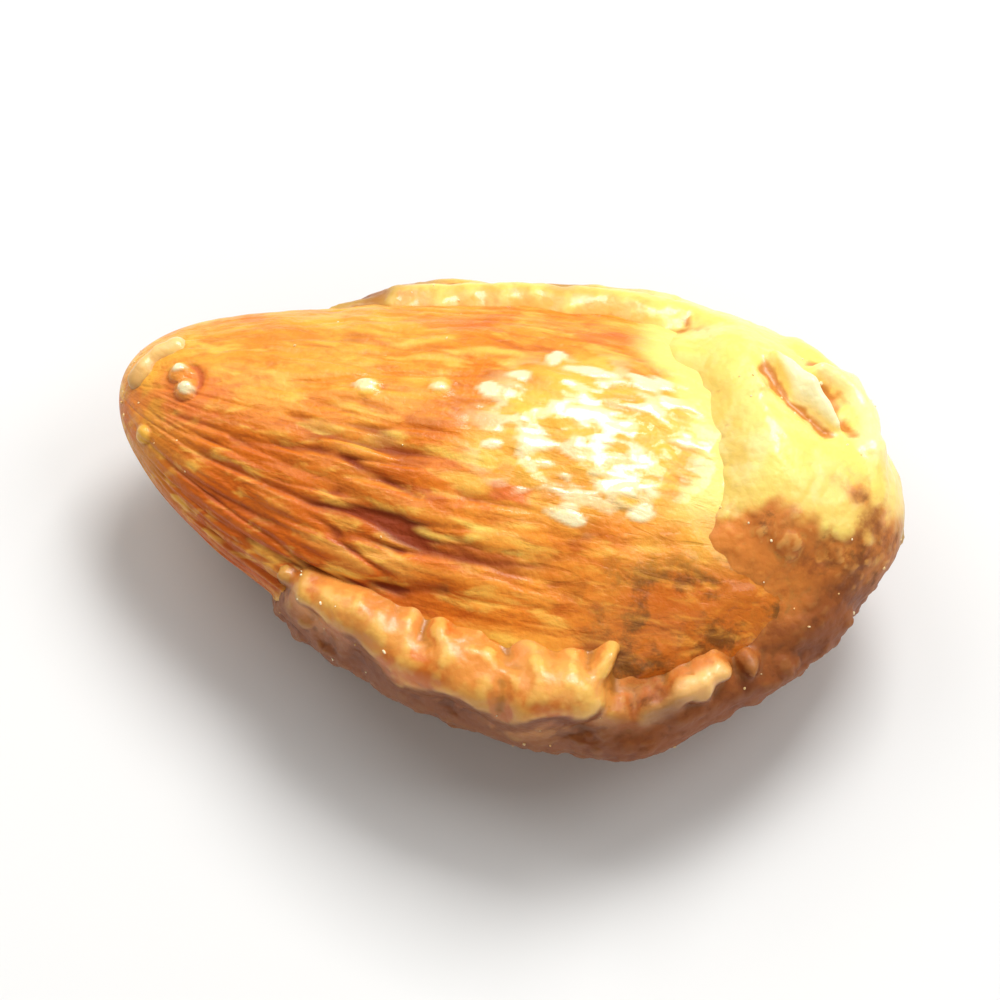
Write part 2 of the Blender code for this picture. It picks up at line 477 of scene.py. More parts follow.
@dataclass(frozen=True)
class Mound:
    """A rounded drop of syrup, or a lump or bead of toffee."""

    place_x: float
    angle: float
    radius: float
    height: float


@dataclass(frozen=True)
class Dab:
    """A ragged blotch on the skin, longer or shorter along the almond, for painted glare, painted
    gleams and pink blushes.
    """

    place_x: float
    angle: float
    half_length: float
    half_width: float
    strength: float = 1.0


@dataclass(frozen=True)
class Crease:
    """A narrow valley along a route of places and angles."""

    route: tuple[tuple[float, float], ...]
    width: float
    depth: float


@dataclass(frozen=True)
class Strands:
    """One set of strands of the skin, with grooves between them.

    turns is the drum's radius in waves, so more gives narrower strands. wave is the length of one
    wave along the almond, groove_width is against the strands' width, and shift moves the pattern.
    """

    turns: float
    wave: float
    groove_width: float
    shift: float


@dataclass(frozen=True)
class AlmondSkin:
    """The roasted brown skin, with its lengthwise ridges and grooves."""

    form: KernelForm
    window: Window
    segments: int = 408
    rings: int = 240
    top_density: float = 0.42
    ridge_height: float = 0.12 * MM
    groove_depth: float = 0.12 * MM
    wrinkle_depth: float = 0.08 * MM
    top_ridging: float = 0.42
    lower_ridging: float = 0.6
    uneven_ridging: float = 0.5
    ridging_limits: tuple[float, float] = (0.12, 1.15)
    end_fade: float = 0.8
    ridges: Strands = Strands(4.2, 7.5 * MM, 0.13, 5.0)
    wrinkles: Strands = Strands(8.0, 4.0 * MM, 0.16, 9.0)
    fibre_turns: float = 26.0
    fibre_wave: float = 1.6 * MM
    fibre_height: float = 0.03 * MM
    dent_height: float = 0.12 * MM
    film_height: float = 0.2 * MM
    film_reach: float = 1.3 * MM
    film_edge: float = 0.9
    film_apron: float = 0.75
    film_pool: float = 1.05
    film_tip: float = 0.5
    film_back: float = 0.35
    drops: tuple[Mound, ...] = (
        Mound(-11.2 * MM, 83.0, 0.42 * MM, 0.28 * MM),
        Mound(-10.8 * MM, 93.0, 0.42 * MM, 0.26 * MM),
        Mound(-12.0 * MM, 138.0, 0.34 * MM, 0.22 * MM),
        Mound(-4.5 * MM, 76.0, 0.46 * MM, 0.12 * MM),
        Mound(-2.0 * MM, 72.5, 0.44 * MM, 0.12 * MM),
        Mound(5.2 * MM, 97.0, 0.50 * MM, 0.14 * MM),
    )
    ring_at: tuple[float, float] = (-11.0 * MM, 88.5)
    ring_radius: float = 0.68 * MM
    ring_width: float = 0.14 * MM
    ring_depth: float = 0.09 * MM
    glaze_height: float = 0.06 * MM
    # Painted glare: pale blotches where the key lamp's reflection falls, and two painted glints on
    # the tip's drop.
    dabs: tuple[Dab, ...] = (
        Dab(1.6 * MM, 56.0, 0.30 * MM, 0.60 * MM),
        Dab(2.8 * MM, 61.0, 0.95 * MM, 0.26 * MM),
        Dab(5.3 * MM, 61.0, 1.00 * MM, 0.50 * MM),
        Dab(6.3 * MM, 65.5, 0.90 * MM, 0.30 * MM),
        Dab(3.1 * MM, 76.0, 1.20 * MM, 0.55 * MM),
        Dab(5.0 * MM, 70.5, 1.20 * MM, 0.18 * MM),
        Dab(1.7 * MM, 86.0, 0.75 * MM, 0.42 * MM),
        Dab(0.3 * MM, 88.5, 0.40 * MM, 0.36 * MM),
        Dab(0.7 * MM, 66.0, 0.42 * MM, 0.26 * MM),
        Dab(-0.3 * MM, 72.0, 0.40 * MM, 0.24 * MM),
        Dab(5.3 * MM, 83.5, 0.45 * MM, 0.38 * MM),
        Dab(6.8 * MM, 78.0, 0.80 * MM, 0.36 * MM),
        Dab(4.9 * MM, 94.5, 1.00 * MM, 0.46 * MM),
        Dab(5.9 * MM, 101.5, 0.55 * MM, 0.40 * MM),
        Dab(3.3 * MM, 104.5, 0.85 * MM, 0.40 * MM),
        Dab(-4.5 * MM, 76.5, 0.36 * MM, 0.24 * MM, 0.8),
        Dab(-2.0 * MM, 73.5, 0.40 * MM, 0.28 * MM, 0.8),
        Dab(-11.2 * MM, 81.0, 0.20 * MM, 0.20 * MM),
        Dab(-10.75 * MM, 94.0, 0.22 * MM, 0.22 * MM),
    )
    # Painted highlights: pale gleams along the strands.
    gleams: tuple[Dab, ...] = (
        Dab(-5.8 * MM, 94.0, 1.40 * MM, 0.20 * MM),
        Dab(-3.2 * MM, 91.0, 0.80 * MM, 0.20 * MM, 0.8),
        Dab(-1.1 * MM, 119.0, 2.40 * MM, 0.34 * MM),
        Dab(1.1 * MM, 110.5, 1.90 * MM, 0.34 * MM, 0.9),
        Dab(-4.3 * MM, 146.0, 2.60 * MM, 0.32 * MM, 0.7),
        Dab(-0.2 * MM, 94.0, 1.80 * MM, 0.36 * MM, 0.8),
        Dab(-1.8 * MM, 57.0, 2.60 * MM, 0.45 * MM, 0.7),
    )
    blushes: tuple[Dab, ...] = (
        Dab(-10.9 * MM, 94.0, 1.50 * MM, 1.20 * MM, 0.7),
        Dab(-12.4 * MM, 118.0, 0.90 * MM, 0.90 * MM, 0.6),
        Dab(1.5 * MM, 102.0, 1.00 * MM, 0.42 * MM),
        Dab(4.2 * MM, 45.0, 1.50 * MM, 0.45 * MM, 0.7),
        Dab(-2.5 * MM, 41.0, 2.20 * MM, 0.40 * MM, 0.5),
    )
    # The spread of syrup on the broad top, where its pale colour is painted glare.
    pool_at: tuple[float, float] = (3.4 * MM, 81.0)
    pool_reach: tuple[float, float] = (5.0 * MM, 32.0)
    creases: tuple[Crease, ...] = (
        Crease(((-8.8, 110.0), (-5.1, 101.0), (-1.8, 108.5)), 0.16, 0.12),
        Crease(((-9.8, 123.5), (-5.4, 121.5), (-2.2, 115.0)), 0.18, 0.11),
        Crease(((-6.3, 152.5), (-0.2, 133.5)), 0.18, 0.12),
        Crease(((-9.0, 140.0), (-4.0, 133.0), (-2.0, 127.0)), 0.16, 0.09),
    )

    def drum(self, units: Array, turns: float, wave: float) -> Array:
        """Places on a drum round the almond, on which noise runs in lengthwise streaks.

        Args:
            units: Points of the unit sphere.
            turns: The drum's radius, in waves: more gives more streaks round the almond.
            wave: The length of one wave along the almond.

        Returns:
            The drum's points, in waves.
        """
        along = 0.5 * self.form.length * units[:, 0] / wave
        turn = np.arctan2(units[:, 2], units[:, 1])
        return np.column_stack((along, turns * np.cos(turn), turns * np.sin(turn)))

    def strands(self, units: Array, kind: Strands) -> tuple[Array, Array]:
        """Lays out one set of strands that run along the almond, part and meet again.

        Args:
            units: Points of the unit sphere.
            kind: The set of strands.

        Returns:
            How deep in a groove each place is, and how high on a strand, both from 0 to 1.
        """
        drum = self.drum(units, kind.turns, kind.wave)
        bend = noise_at(drum, 1.0, kind.shift) + 0.4 * noise_at(drum, 0.45, kind.shift + 2.3)
        come = Span(-0.45, 0.25).rise(noise_at(drum, 1.3, kind.shift + 4.1))
        groove = np.exp(-((bend / kind.groove_width) ** 2)) * (0.15 + 0.85 * come)
        return groove, np.clip(2.2 * np.abs(bend), 0.0, 1.0) ** 0.8

    def film(self, units: Array) -> Array:
        """How much of each place a thin film of toffee or syrup covers; on the broad top its pale
        colour is painted glare.

        Args:
            units: Points of the unit sphere.

        Returns:
            The cover, from 0 to 1.
        """
        place = self.form.surface(units)
        along = place[:, 0] - self.form.centre[0]
        angle = self.form.angles(units)
        edge = smooth_step(self.window.inside(units), -self.film_reach, 0.0)
        apron = Span(98.0, 112.0).rise(angle) * Span(4.0 * MM, 7.5 * MM).rise(along)
        tip = Span(-12.6 * MM, -9.0 * MM).fall(along)
        back = Span(62.0, 100.0).fall(angle) * Span(-5.0 * MM, 1.0 * MM).fall(along)
        covers = (
            self.film_edge * edge,
            self.film_apron * apron,
            self.film_pool * self.syrup_and_glare_pool(units),
            self.film_tip * tip,
            self.film_back * back,
        )
        cover = np.maximum.reduce(covers)
        blotch = smooth_step(noise_at(place, 1.5 * MM, 31.0), -0.45, 0.3)
        return cover * (0.45 + 0.55 * blotch)

    def glaze_and_glare(self, units: Array) -> Array:
        """How much pale syrup with painted glare there is at each place, in ragged dabs: the syrup is
        raised and glossier there, and its pale colour is a painted highlight.

        Args:
            units: Points of the unit sphere.

        Returns:
            The glaze, from 0 to 1.
        """
        spots = 0.65 * self.syrup_and_glare_pool(units) * smooth_step(self.ragged(units), 0.10, 0.3)
        return np.maximum(spots, self.dabbed(units, self.dabs))

    def ragged(self, units: Array) -> Array:
        """Reads the noise that frays the edges of dabs, drawn out along the almond.

        Args:
            units: Points of the unit sphere.

        Returns:
            The noise at each.
        """
        place = self.form.surface(units)
        wave = np.array((1.4, 0.75, 0.75)) * MM
        return noise_at(place, wave, 52.0) + 0.7 * noise_at(place, 0.4 * wave, 57.0)

    def dabbed(self, units: Array, dabs: tuple[Dab, ...]) -> Array:
        """Works out how much some ragged dabs cover each place.

        Args:
            units: Points of the unit sphere.
            dabs: The dabs.

        Returns:
            The cover, from 0 to 1.
        """
        place = self.form.surface(units)
        ragged = self.ragged(units)
        covered = np.zeros(len(place))
        for dab in dabs:
            off = place - self.form.spot(dab.place_x, dab.angle)
            side = np.hypot(off[:, 1], off[:, 2]) / dab.half_width
            cover = 1.0 - np.hypot(off[:, 0] / dab.half_length, side)
            shape = smooth_step(cover + 0.8 * ragged, -0.15, 0.4) * (cover > -0.5)
            covered = np.maximum(covered, dab.strength * shape)
        return covered

    def syrup_and_glare_pool(self, units: Array) -> Array:
        """Works out how much each place lies in the spread of syrup on the broad top, where the pale
        film and dabs are painted glare.

        Args:
            units: Points of the unit sphere.

        Returns:
            The share, from 0 to 1.
        """
        along = 0.5 * self.form.length * units[:, 0] - self.pool_at[0]
        turn = self.form.angles(units) - self.pool_at[1]
        away = np.hypot(along / self.pool_reach[0], turn / self.pool_reach[1])
        return 1.0 - smooth_step(away, 0.5, 1.0)

    def ridging(self, units: Array) -> Array:
        """Works out how strong the skin's ridges are: strongest low on the front, near the tip.

        Args:
            units: Points of the unit sphere.

        Returns:
            The strength at each.
        """
        place = self.form.surface(units)
        along = place[:, 0] - self.form.centre[0]
        angle = self.form.angles(units)
        lower = Span(80.0, 108.0).rise(angle) * Span(1.0 * MM, 7.0 * MM).fall(along)
        uneven = noise_at(place, 3.2 * MM, 11.0)
        strength = self.top_ridging + self.lower_ridging * lower + self.uneven_ridging * uneven
        strength *= 1.0 - 0.45 * Span(-4.0 * MM, -0.5 * MM).rise(along)
        strength *= 1.0 - 0.35 * Span(124.0, 150.0).rise(angle)
        return np.clip(strength, *self.ridging_limits)

    def crease_cut(self, place: Array, fibre: Array) -> Array:
        """Works out how deep the few wide creases cut.

        Args:
            place: Places on the smooth almond.
            fibre: The fibres' noise at each, which frays the creases.

        Returns:
            The depth at each, in millimetres.
        """
        cut = np.zeros(len(place))
        for crease in self.creases:
            away, _ = self.form.route_share(crease.route, place)
            away *= 1.0 + 0.5 * fibre
            cut = np.maximum(cut, crease.depth * np.exp(-((away / (crease.width * MM)) ** 2)))
        return cut

    def relief(self, units: Array, film: Array) -> tuple[Array, Array, Array]:
        """Works out the skin's ridges, grooves, wrinkles, fibres and film.

        Args:
            units: Points of the unit sphere.
            film: The film's cover at each.

        Returns:
            The height at each place, and how much it lies in a groove or on a ridge's crest,
            both from 0 to 1.
        """
        place = self.form.surface(units)
        fade = np.maximum(1.0 - units[:, 0] ** 2, 0.0) ** self.end_fade
        strength = self.ridging(units)
        groove, strand = self.strands(units, self.ridges)
        wrinkle, fold = self.strands(units, self.wrinkles)
        fibre = noise_at(self.drum(units, self.fibre_turns, self.fibre_wave), 1.0, 2.0)
        groove, wrinkle = groove * strength, wrinkle * np.clip(strength, 0.0, 0.9)
        height = self.ridge_height * (strand + 0.45 * fold - 0.9) * strength
        height -= self.groove_depth * groove + self.wrinkle_depth * wrinkle
        height += self.fibre_height * fibre * (0.5 + 0.5 * strength)
        cut = self.crease_cut(place, fibre)
        height -= cut * MM
        height *= 1.0 - 0.8 * film
        height += self.dent_height * noise_at(place, 2.4 * MM, 4.0)
        pooled = noise_at(place, 1.05 * MM, 17.0) + 0.5 * noise_at(place, 0.5 * MM, 19.0)
        height += self.film_height * film * (0.4 + pooled)
        depth = np.clip(0.7 * groove + 0.45 * wrinkle + 4.5 * cut - 0.2 * fold, 0.0, 1.0)
        rise = np.clip(0.8 * strand + 0.4 * fold + 0.3 * fibre - groove - wrinkle - 0.4, 0.0, 1.0)
        return height * fade, depth * fade * (1.0 - 0.45 * film), rise * strength * fade

    def drop_height(self, place: Array) -> Array:
        """Works out how high the syrup's drops stand.

        Args:
            place: Places on the smooth almond.

        Returns:
            The height at each.
        """
        height = np.zeros(len(place))
        for drop in self.drops:
            away = place - self.form.spot(drop.place_x, drop.angle)
            distance = np.linalg.norm(away, axis=1) / drop.radius
            height = np.maximum(height, drop.height * dome(distance))
        return height

    def ring(self, place: Array) -> Array:
        """Works out the sunken ring round the drop at the tip.

        Args:
            place: Places on the smooth almond.

        Returns:
            The ring, 1 at its deepest and 0 away from it.
        """
        away = np.linalg.norm(place - self.form.spot(*self.ring_at), axis=1)
        ring = np.exp(-(((away - self.ring_radius) / self.ring_width) ** 2))
        beyond = (place[:, 0] - self.form.spot(*self.ring_at)[0]) / self.ring_radius
        return ring * (0.25 + 0.75 * Span(-0.4, 0.6).rise(beyond))

    def denser_top(self, units: Array) -> Array:
        """Moves points closer together on the top, where the skin is bare.

        Args:
            units: Points of the unit sphere.

        Returns:
            The moved points.
        """
        turn = np.arctan2(units[:, 2], units[:, 1])
        turn -= self.top_density * np.sin(turn - 0.5 * math.pi)
        round_x = np.hypot(units[:, 1], units[:, 2])
        return np.column_stack((units[:, 0], round_x * np.cos(turn), round_x * np.sin(turn)))

    def store_regions(self, surface: SurfaceMesh, units: Array) -> None:
        """Stores where the skin is browner, pinker and paler from spilled toffee, where painted shade
        darkens its front and underside, and where painted gleams lie on its strands.

        Args:
            surface: The skin's surface.
            units: Its points on the unit sphere.
        """
        place = self.form.surface(units)
        along, angle = place[:, 0] - self.form.centre[0], self.form.angles(units)
        apron = Span(104.0, 122.0).rise(angle) * Span(2.5 * MM, 7.0 * MM).rise(along)
        surface.store("apron", apron)
        # Painted shade: darker orange towards the front and the underside, from the tip to the
        # middle.
        deep = Span(84.0, 112.0).rise(angle) + 0.5 * Span(118.0, 145.0).rise(angle)
        surface.store("deep", deep * Span(-4.0 * MM, 3.0 * MM).fall(along))
        # Painted highlights: gleams along the strands, broken up by the strand noise.
        strand = noise_at(self.drum(units, 20.0, 2.4 * MM), 1.0, 63.0)
        surface.store("gleam", self.dabbed(units, self.gleams) * Span(-0.3, 0.2).rise(strand))
        surface.store("blush", self.dabbed(units, self.blushes))
        cap = Span(3.0 * MM, 5.5 * MM).rise(along) * Span(92.0, 106.0).fall(angle)
        near = self.window.inside(units) + 0.7 * MM * noise_at(place, 0.9 * MM, 61.0)
        surface.store("spill", cap * Span(-1.5 * MM, 0.1 * MM).rise(near))

    def build(self, finish: bpy.types.Material) -> bpy.types.Object:
        """Builds the skin.

        Args:
            finish: The skin's material.

        Returns:
            The skin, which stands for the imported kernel.
        """
        shape, units = self.form.lengthwise_mesh(self.segments, self.rings)
        units = self.denser_top(units)
        film = self.film(units)
        height, depth, rise = self.relief(units, film)
        glaze_and_glare = self.glaze_and_glare(units)
        height = (1.0 - 0.4 * glaze_and_glare) * height + self.glaze_height * glaze_and_glare
        place = self.form.surface(units)
        drops = self.drop_height(place)
        ring = self.ring(place)
        height -= self.ring_depth * ring
        # The ring takes the groove colour: a painted dark crescent round the drop, strongest on the
        # blunt-end side.
        depth = np.maximum(depth, 0.85 * ring)
        mesh = bpy.data.meshes.new("skin")
        shape.to_mesh(mesh)
        shape.free()
        surface = SurfaceMesh(mesh)
        surface.move_to(place + self.form.outward(units) * (height + drops)[:, None])
        surface.store("groove", depth)
        surface.store("rise", rise)
        surface.store("glaze_and_glare", glaze_and_glare)
        surface.store("film", np.maximum(film, Span(0.0, 0.1 * MM).rise(drops)))
        self.store_regions(surface, units)
        mesh.shade_smooth()
        mesh.materials.append(finish)
        skin = new_object("skin", mesh)
        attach(skin, "root")
        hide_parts("almond_kernel")
        return skin


@dataclass(frozen=True)
class Fold:
    """A rounded rope of toffee along a route of places and angles."""

    route: tuple[tuple[float, float], ...]
    radii: tuple[float, float]
    heights: tuple[float, float]
    steepness: float = 0.5
    raggedness: float = 0.0

    def radius(self, done: Array) -> Array:
        """The rope's radius, done being how far along its route, 0 to 1."""
        return (self.radii[0] + (self.radii[1] - self.radii[0]) * done) * MM

    def height(self, done: Array) -> Array:
        """How high the rope stands off the almond there."""
        return (self.heights[0] + (self.heights[1] - self.heights[0]) * done) * MM


@dataclass(frozen=True)
class ToffeeCoat:
    """The set toffee: a poured coat with lumps, folds, beads, creases and a crust of nodules."""

    form: KernelForm
    window: Window
    cuts: int = 130
    depth: float = 0.8 * MM
    unevenness: float = 0.3
    uneven_length: float = 4.6 * MM
    swell: float = 0.16 * MM
    swell_length: float = 2.1 * MM
    rim_width: float = 0.6 * MM
    rim_sink: float = 0.6 * MM
    soft_rise: float = 0.65
    soft_widening: float = 3.8
    fillet: float = 0.3 * MM
    tip_thinning: float = 0.6
    end_thinning: float = 0.6
    room_shrink: float = 0.28 * MM
    voxel: float = 0.112 * MM
    coarse_size: float = 1.9 * MM
    coarse_height: float = 0.42 * MM
    middle_size: float = 1.0 * MM
    middle_height: float = 0.24 * MM
    fine_size: float = 0.48 * MM
    fine_height: float = 0.1 * MM
    # The tongue's folds, whose milk-white is a painted highlight.
    milky_glint_folds: tuple[int, ...] = (0, 1)
    lip_fold: int = 2
    cream_folds: tuple[int, ...] = (10, 11)
    pit_size: float = 0.9 * MM
    pit_depth: float = 0.07 * MM
    roughenings: tuple[tuple[float, float, float], ...] = (
        (0.09 * MM, 0.75 * MM, 15.0),
        (0.045 * MM, 0.32 * MM, 25.0),
    )
    # The way to the key lamp, for the painted shade tint.
    lit_from: tuple[float, float, float] = (0.09, 0.58, 0.81)
    near_bend: float = 0.035 * MM
    wide_bend: float = 0.2 * MM
    foot_angle: float = 114.0
    foot_climb: float = 15.0
    lumps: tuple[Mound, ...] = (
        Mound(10.2 * MM, 76.0, 4.2 * MM, 0.55 * MM),
        Mound(8.5 * MM, 44.0, 2.8 * MM, 0.45 * MM),
        Mound(12.6 * MM, 76.0, 3.0 * MM, 0.75 * MM),
        Mound(-3.6 * MM, 165.0, 1.6 * MM, 0.25 * MM),
        Mound(-0.9 * MM, 163.0, 2.0 * MM, 0.60 * MM),
        Mound(3.2 * MM, 162.0, 2.2 * MM, 0.80 * MM),
        Mound(7.9 * MM, 162.0, 1.3 * MM, 0.40 * MM),
        Mound(2.7 * MM, 190.0, 3.6 * MM, 0.35 * MM),
        Mound(6.9 * MM, 190.0, 2.8 * MM, 0.60 * MM),
        Mound(-3.2 * MM, -12.0, 2.2 * MM, 0.30 * MM),
        Mound(2.8 * MM, -6.0, 3.2 * MM, 0.15 * MM),
        Mound(9.8 * MM, 4.0, 2.4 * MM, 0.20 * MM),
        Mound(-6.5 * MM, -38.0, 2.2 * MM, 0.35 * MM),
    )
    beads: tuple[Mound, ...] = (
        Mound(10.3 * MM, 160.0, 0.45 * MM, 1.0 * MM),
        Mound(-0.1 * MM, 147.0, 0.50 * MM, 0.85 * MM),
        Mound(0.75 * MM, 146.0, 0.34 * MM, 0.65 * MM),
        Mound(3.4 * MM, 170.0, 0.50 * MM, 1.45 * MM),
        Mound(7.0 * MM, 170.0, 0.48 * MM, 1.35 * MM),
        Mound(-5.9 * MM, 157.0, 0.40 * MM, 0.45 * MM),
        Mound(8.6 * MM, 58.5, 0.38 * MM, 1.45 * MM),
    )
    folds: tuple[Fold, ...] = (
        # the tongue on the cap, the curl beyond it and the lip at the end
        Fold(((9.9, 51.5), (9.3, 47.5), (8.6, 42.5)), (0.80, 0.35), (1.95, 1.6), 0.7, 0.15),
        Fold(((9.9, 51.5), (10.5, 55.0), (11.1, 58.0)), (0.80, 0.45), (1.95, 1.75), 0.7, 0.15),
        Fold(
            ((10.1, 36.0), (11.0, 31.0), (11.6, 35.0), (12.2, 55.0)),
            (0.6, 0.85),
            (1.75, 1.8),
            0.7,
            0.3,
        ),
        Fold(((9.2, 20.0), (10.8, 22.0), (12.2, 52.0)), (1.3, 1.3), (1.3, 1.5), 1.0),
        Fold(((12.2, 55.0), (12.6, 75.0), (12.3, 94.0)), (0.9, 1.3), (1.9, 1.2), 0.9),
        # the thin rope along the back edge
        Fold(((-7.0, 10.0), (-4.5, 12.0)), (0.3, 0.6), (0.1, 0.55), 1.0, 0.2),
        Fold(((-4.5, 12.0), (-1.0, 15.0), (5.0, 19.0)), (0.8, 1.1), (0.75, 0.85), 1.2, 0.2),
        # the two rolls on the front edge, the thumb that stands on them and the crag
        Fold(((-4.9, 157.0), (-1.7, 157.0), (1.7, 159.0)), (0.9, 1.5), (0.8, 1.75), 0.85, 0.35),
        Fold(((3.0, 158.0), (4.9, 156.0)), (1.6, 1.5), (1.9, 1.75), 1.0, 0.3),
        Fold(((5.5, 148.0), (5.85, 142.0)), (0.7, 0.4), (1.15, 0.85), 1.0, 0.15),
        Fold(((7.3, 166.0), (8.3, 159.0), (9.1, 152.5)), (0.5, 0.75), (1.15, 1.15), 0.9, 0.65),
        # the pale leaf at the tip
        Fold(((-11.7, 56.0), (-12.4, 70.0), (-12.75, 94.0)), (0.7, 0.5), (0.34, 0.3), 1.0, 0.2),
    )
    creases: tuple[Crease, ...] = (
        Crease(((8.5, 48.5), (9.7, 57.0), (10.8, 62.0)), 0.4, 0.36),
        Crease(((10.5, 41.5), (11.0, 45.0), (11.3, 51.0)), 0.42, 0.4),
        Crease(((5.1, 141.5), (5.05, 145.5)), 0.26, 0.8),
        Crease(((2.3, 146.0), (2.5, 166.0)), 0.4, 0.28),
        Crease(((-4.3, 171.0), (-0.7, 174.0), (3.3, 173.0), (7.7, 171.0)), 0.5, 0.35),
        Crease(((6.5, 146.0), (6.7, 160.0)), 0.5, 0.35),
    )

    def crease_depth(self, place: Array) -> Array:
        """Works out how deep the creases cut.

        Args:
            place: Places on the smooth almond.

        Returns:
            The depth at each.
        """
        depth = np.zeros(len(place))
        for crease in self.creases:
            away, _ = self.form.route_share(crease.route, place)
            cut = crease.depth * MM * np.exp(-((away / (crease.width * MM)) ** 2))
            depth = np.maximum(depth, cut)
        return depth

    def add_ropes(self, depth: Array, place: Array) -> Array:
        """Raises the folds and the beads, which flow into the coat at their feet.

        Args:
            depth: The coat's depth at each place so far.
            place: The places on the smooth almond.

        Returns:
            The depth with them.
        """
        swell = 1.0 + 0.22 * noise_at(place, 1.3 * MM, 27.0)
        ragged = noise_at(place, 0.8 * MM, 28.0)
        for fold in self.folds:
            away, done = self.form.route_share(fold.route, place)
            away += fold.raggedness * MM * ragged
            across = away / (fold.radius(done) * swell)
            form = np.clip(1.0 - across**2, 0.0, 1.0) ** fold.steepness
            rope = (fold.height(done) + self.rim_sink) * form - self.rim_sink
            depth = smooth_maximum(depth, rope, self.fillet)
        for bead in self.beads:
            away = np.linalg.norm(place - self.form.spot(bead.place_x, bead.angle), axis=1)
            ball = dome(away / (bead.radius * swell))
            ball = (bead.height + self.rim_sink) * ball - self.rim_sink
            depth = smooth_maximum(depth, ball, self.fillet)
        return depth

    def near_folds(self, points: Array, chosen: tuple[int, ...]) -> Array:
        """Marks the points on some of the folds.

        Args:
            points: The coat's points.
            chosen: Which folds, by their order.

        Returns:
            The mark, 1 on their crests and 0 away from them.
        """
        mark = np.zeros(len(points))
        ragged = 0.4 * noise_at(points, 1.1 * MM, 75.0)
        for fold in (self.folds[index] for index in chosen):
            height = 0.5 * (fold.heights[0] + fold.heights[1]) * MM
            away, done = self.form.route_share(fold.route, points, height)
            mark = np.maximum(mark, Span(0.5, 1.3).fall(away / fold.radius(done) + ragged))
        return mark

    def lump_height(self, place: Array) -> Array:
        """Works out how high the lumps stand where they flow together.

        Args:
            place: Places on the smooth almond.

        Returns:
            The height at each.
        """
        heights = []
        for lump in self.lumps:
            away = place - self.form.spot(lump.place_x, lump.angle)
            distance = np.linalg.norm(away, axis=1) / (1.12 * lump.radius)
            heights.append(lump.height * np.clip(1.0 - distance**2, 0.0, 1.0) ** 1.5)
        return smooth_union(heights)

    def crustiness(self, place: Array) -> Array:
        """Works out how nodular the coat is: little on the cap, the roll and in patches.

        Args:
            place: Places on the almond or on its coat.

        Returns:
            The share of the crust at each, from 0 to 1.
        """
        where, angle = self.form.around(place)
        along = where[:, 0]
        crusty = Span(-0.5, 0.2).rise(noise_at(place, 4.2 * MM, 21.0))
        cap = Span(4.0 * MM, 6.0 * MM).rise(along) * Span(8.0, 24.0).rise(angle)
        cap *= Span(104.0, 120.0).fall(angle)
        roll = Span(132.0, 146.0).rise(angle) * Span(170.0, 179.0).fall(angle)
        roll *= Span(-7.0 * MM, -5.0 * MM).rise(along)
        roll *= 1.0 - 0.5 * Span(5.5 * MM, 7.0 * MM).rise(along)
        rim = Span(-8.0, 6.0).rise(angle) * Span(40.0, 60.0).fall(angle)
        apron = Span(98.0, 108.0).rise(angle) * Span(6.0 * MM, 7.0 * MM).rise(along)
        smooth = (1.0 - 0.9 * cap) * (1.0 - 0.93 * roll) * (1.0 - 0.8 * rim) * (1.0 - 0.35 * apron)
        return (0.25 + 0.75 * crusty) * smooth

    def full_depth(self, place: Array, along: Array, angle: Array) -> Array:
        """Works out how thick the coat is away from its rims, ropes and creases.

        Args:
            place: Places on the smooth almond.
            along: How far along the almond they are.
            angle: The angles round it.

        Returns:
            The thickness at each.
        """
        base = self.depth * (1.0 + self.unevenness * noise_at(place, self.uneven_length))
        flow = Span(4.0 * MM, 6.0 * MM).rise(along) * Span(20.0, 50.0).rise(angle)
        base += self.swell * (1.0 - 0.6 * flow) * noise_at(place, self.swell_length, 6.0)
        coarse = self.coarse_height * nodules(place, self.coarse_size, 0.6)
        full = base + smooth_union([self.lump_height(place), coarse * self.crustiness(place)])
        end = Span(100.0, 122.0).rise(angle) * Span(140.0, 158.0).fall(angle)
        end *= Span(8.5 * MM, 10.0 * MM).rise(along) * Span(11.0 * MM, 12.8 * MM).fall(along)
        full *= 1.0 - self.end_thinning * end
        full *= 1.0 - self.tip_thinning * Span(-8.0 * MM, -2.5 * MM).fall(along)
        return full

    def outer_depth(self, units: Array) -> Array:
        """Works out how far the coat stands out from the smooth almond.

        Args:
            units: Points of the unit sphere.

        Returns:
            The depths, which are below 0 in the window.
        """
        place = self.form.surface(units)
        angle = self.form.angles(units)
        along = place[:, 0] - self.form.centre[0]
        full = self.full_depth(place, along, angle)
        cap = Span(3.5 * MM, 5.5 * MM).rise(along) * Span(18.0, 32.0).rise(angle)
        apron = Span(6.0 * MM, 6.9 * MM).rise(along) * Span(100.0, 112.0).rise(angle)
        soft = np.maximum(0.85 * cap * Span(150.0, 180.0).fall(angle), apron)
        wavy = 1.0 + 0.6 * noise_at(place, 1.7 * MM, 14.0) * (1.0 - 0.8 * soft)
        rim_width = self.rim_width * (wavy + self.soft_widening * soft)
        inside = self.window.inside(units)
        even = self.window.inside(units, 0.0)
        calm = soft * Span(0.3 * MM, 1.6 * MM).rise(even)
        edge = np.clip((inside + calm * (even - inside)) / rim_width, 0.0, 1.0)
        gentle = smooth_step(edge, 0.0, 1.0)
        share = np.sqrt(1.0 - (1.0 - edge) ** 2)
        share += soft * (gentle - share)
        sink = self.rim_sink * (1.0 - self.soft_rise * soft)
        depth = (full + sink) * share - sink
        depth -= (self.rim_sink - sink) * Span(-0.5 * MM, 0.0).fall(inside)
        depth = self.add_ropes(depth, place)
        cut = self.crease_depth(place) * Span(0.0, 0.4 * MM).rise(depth)
        return depth - cut

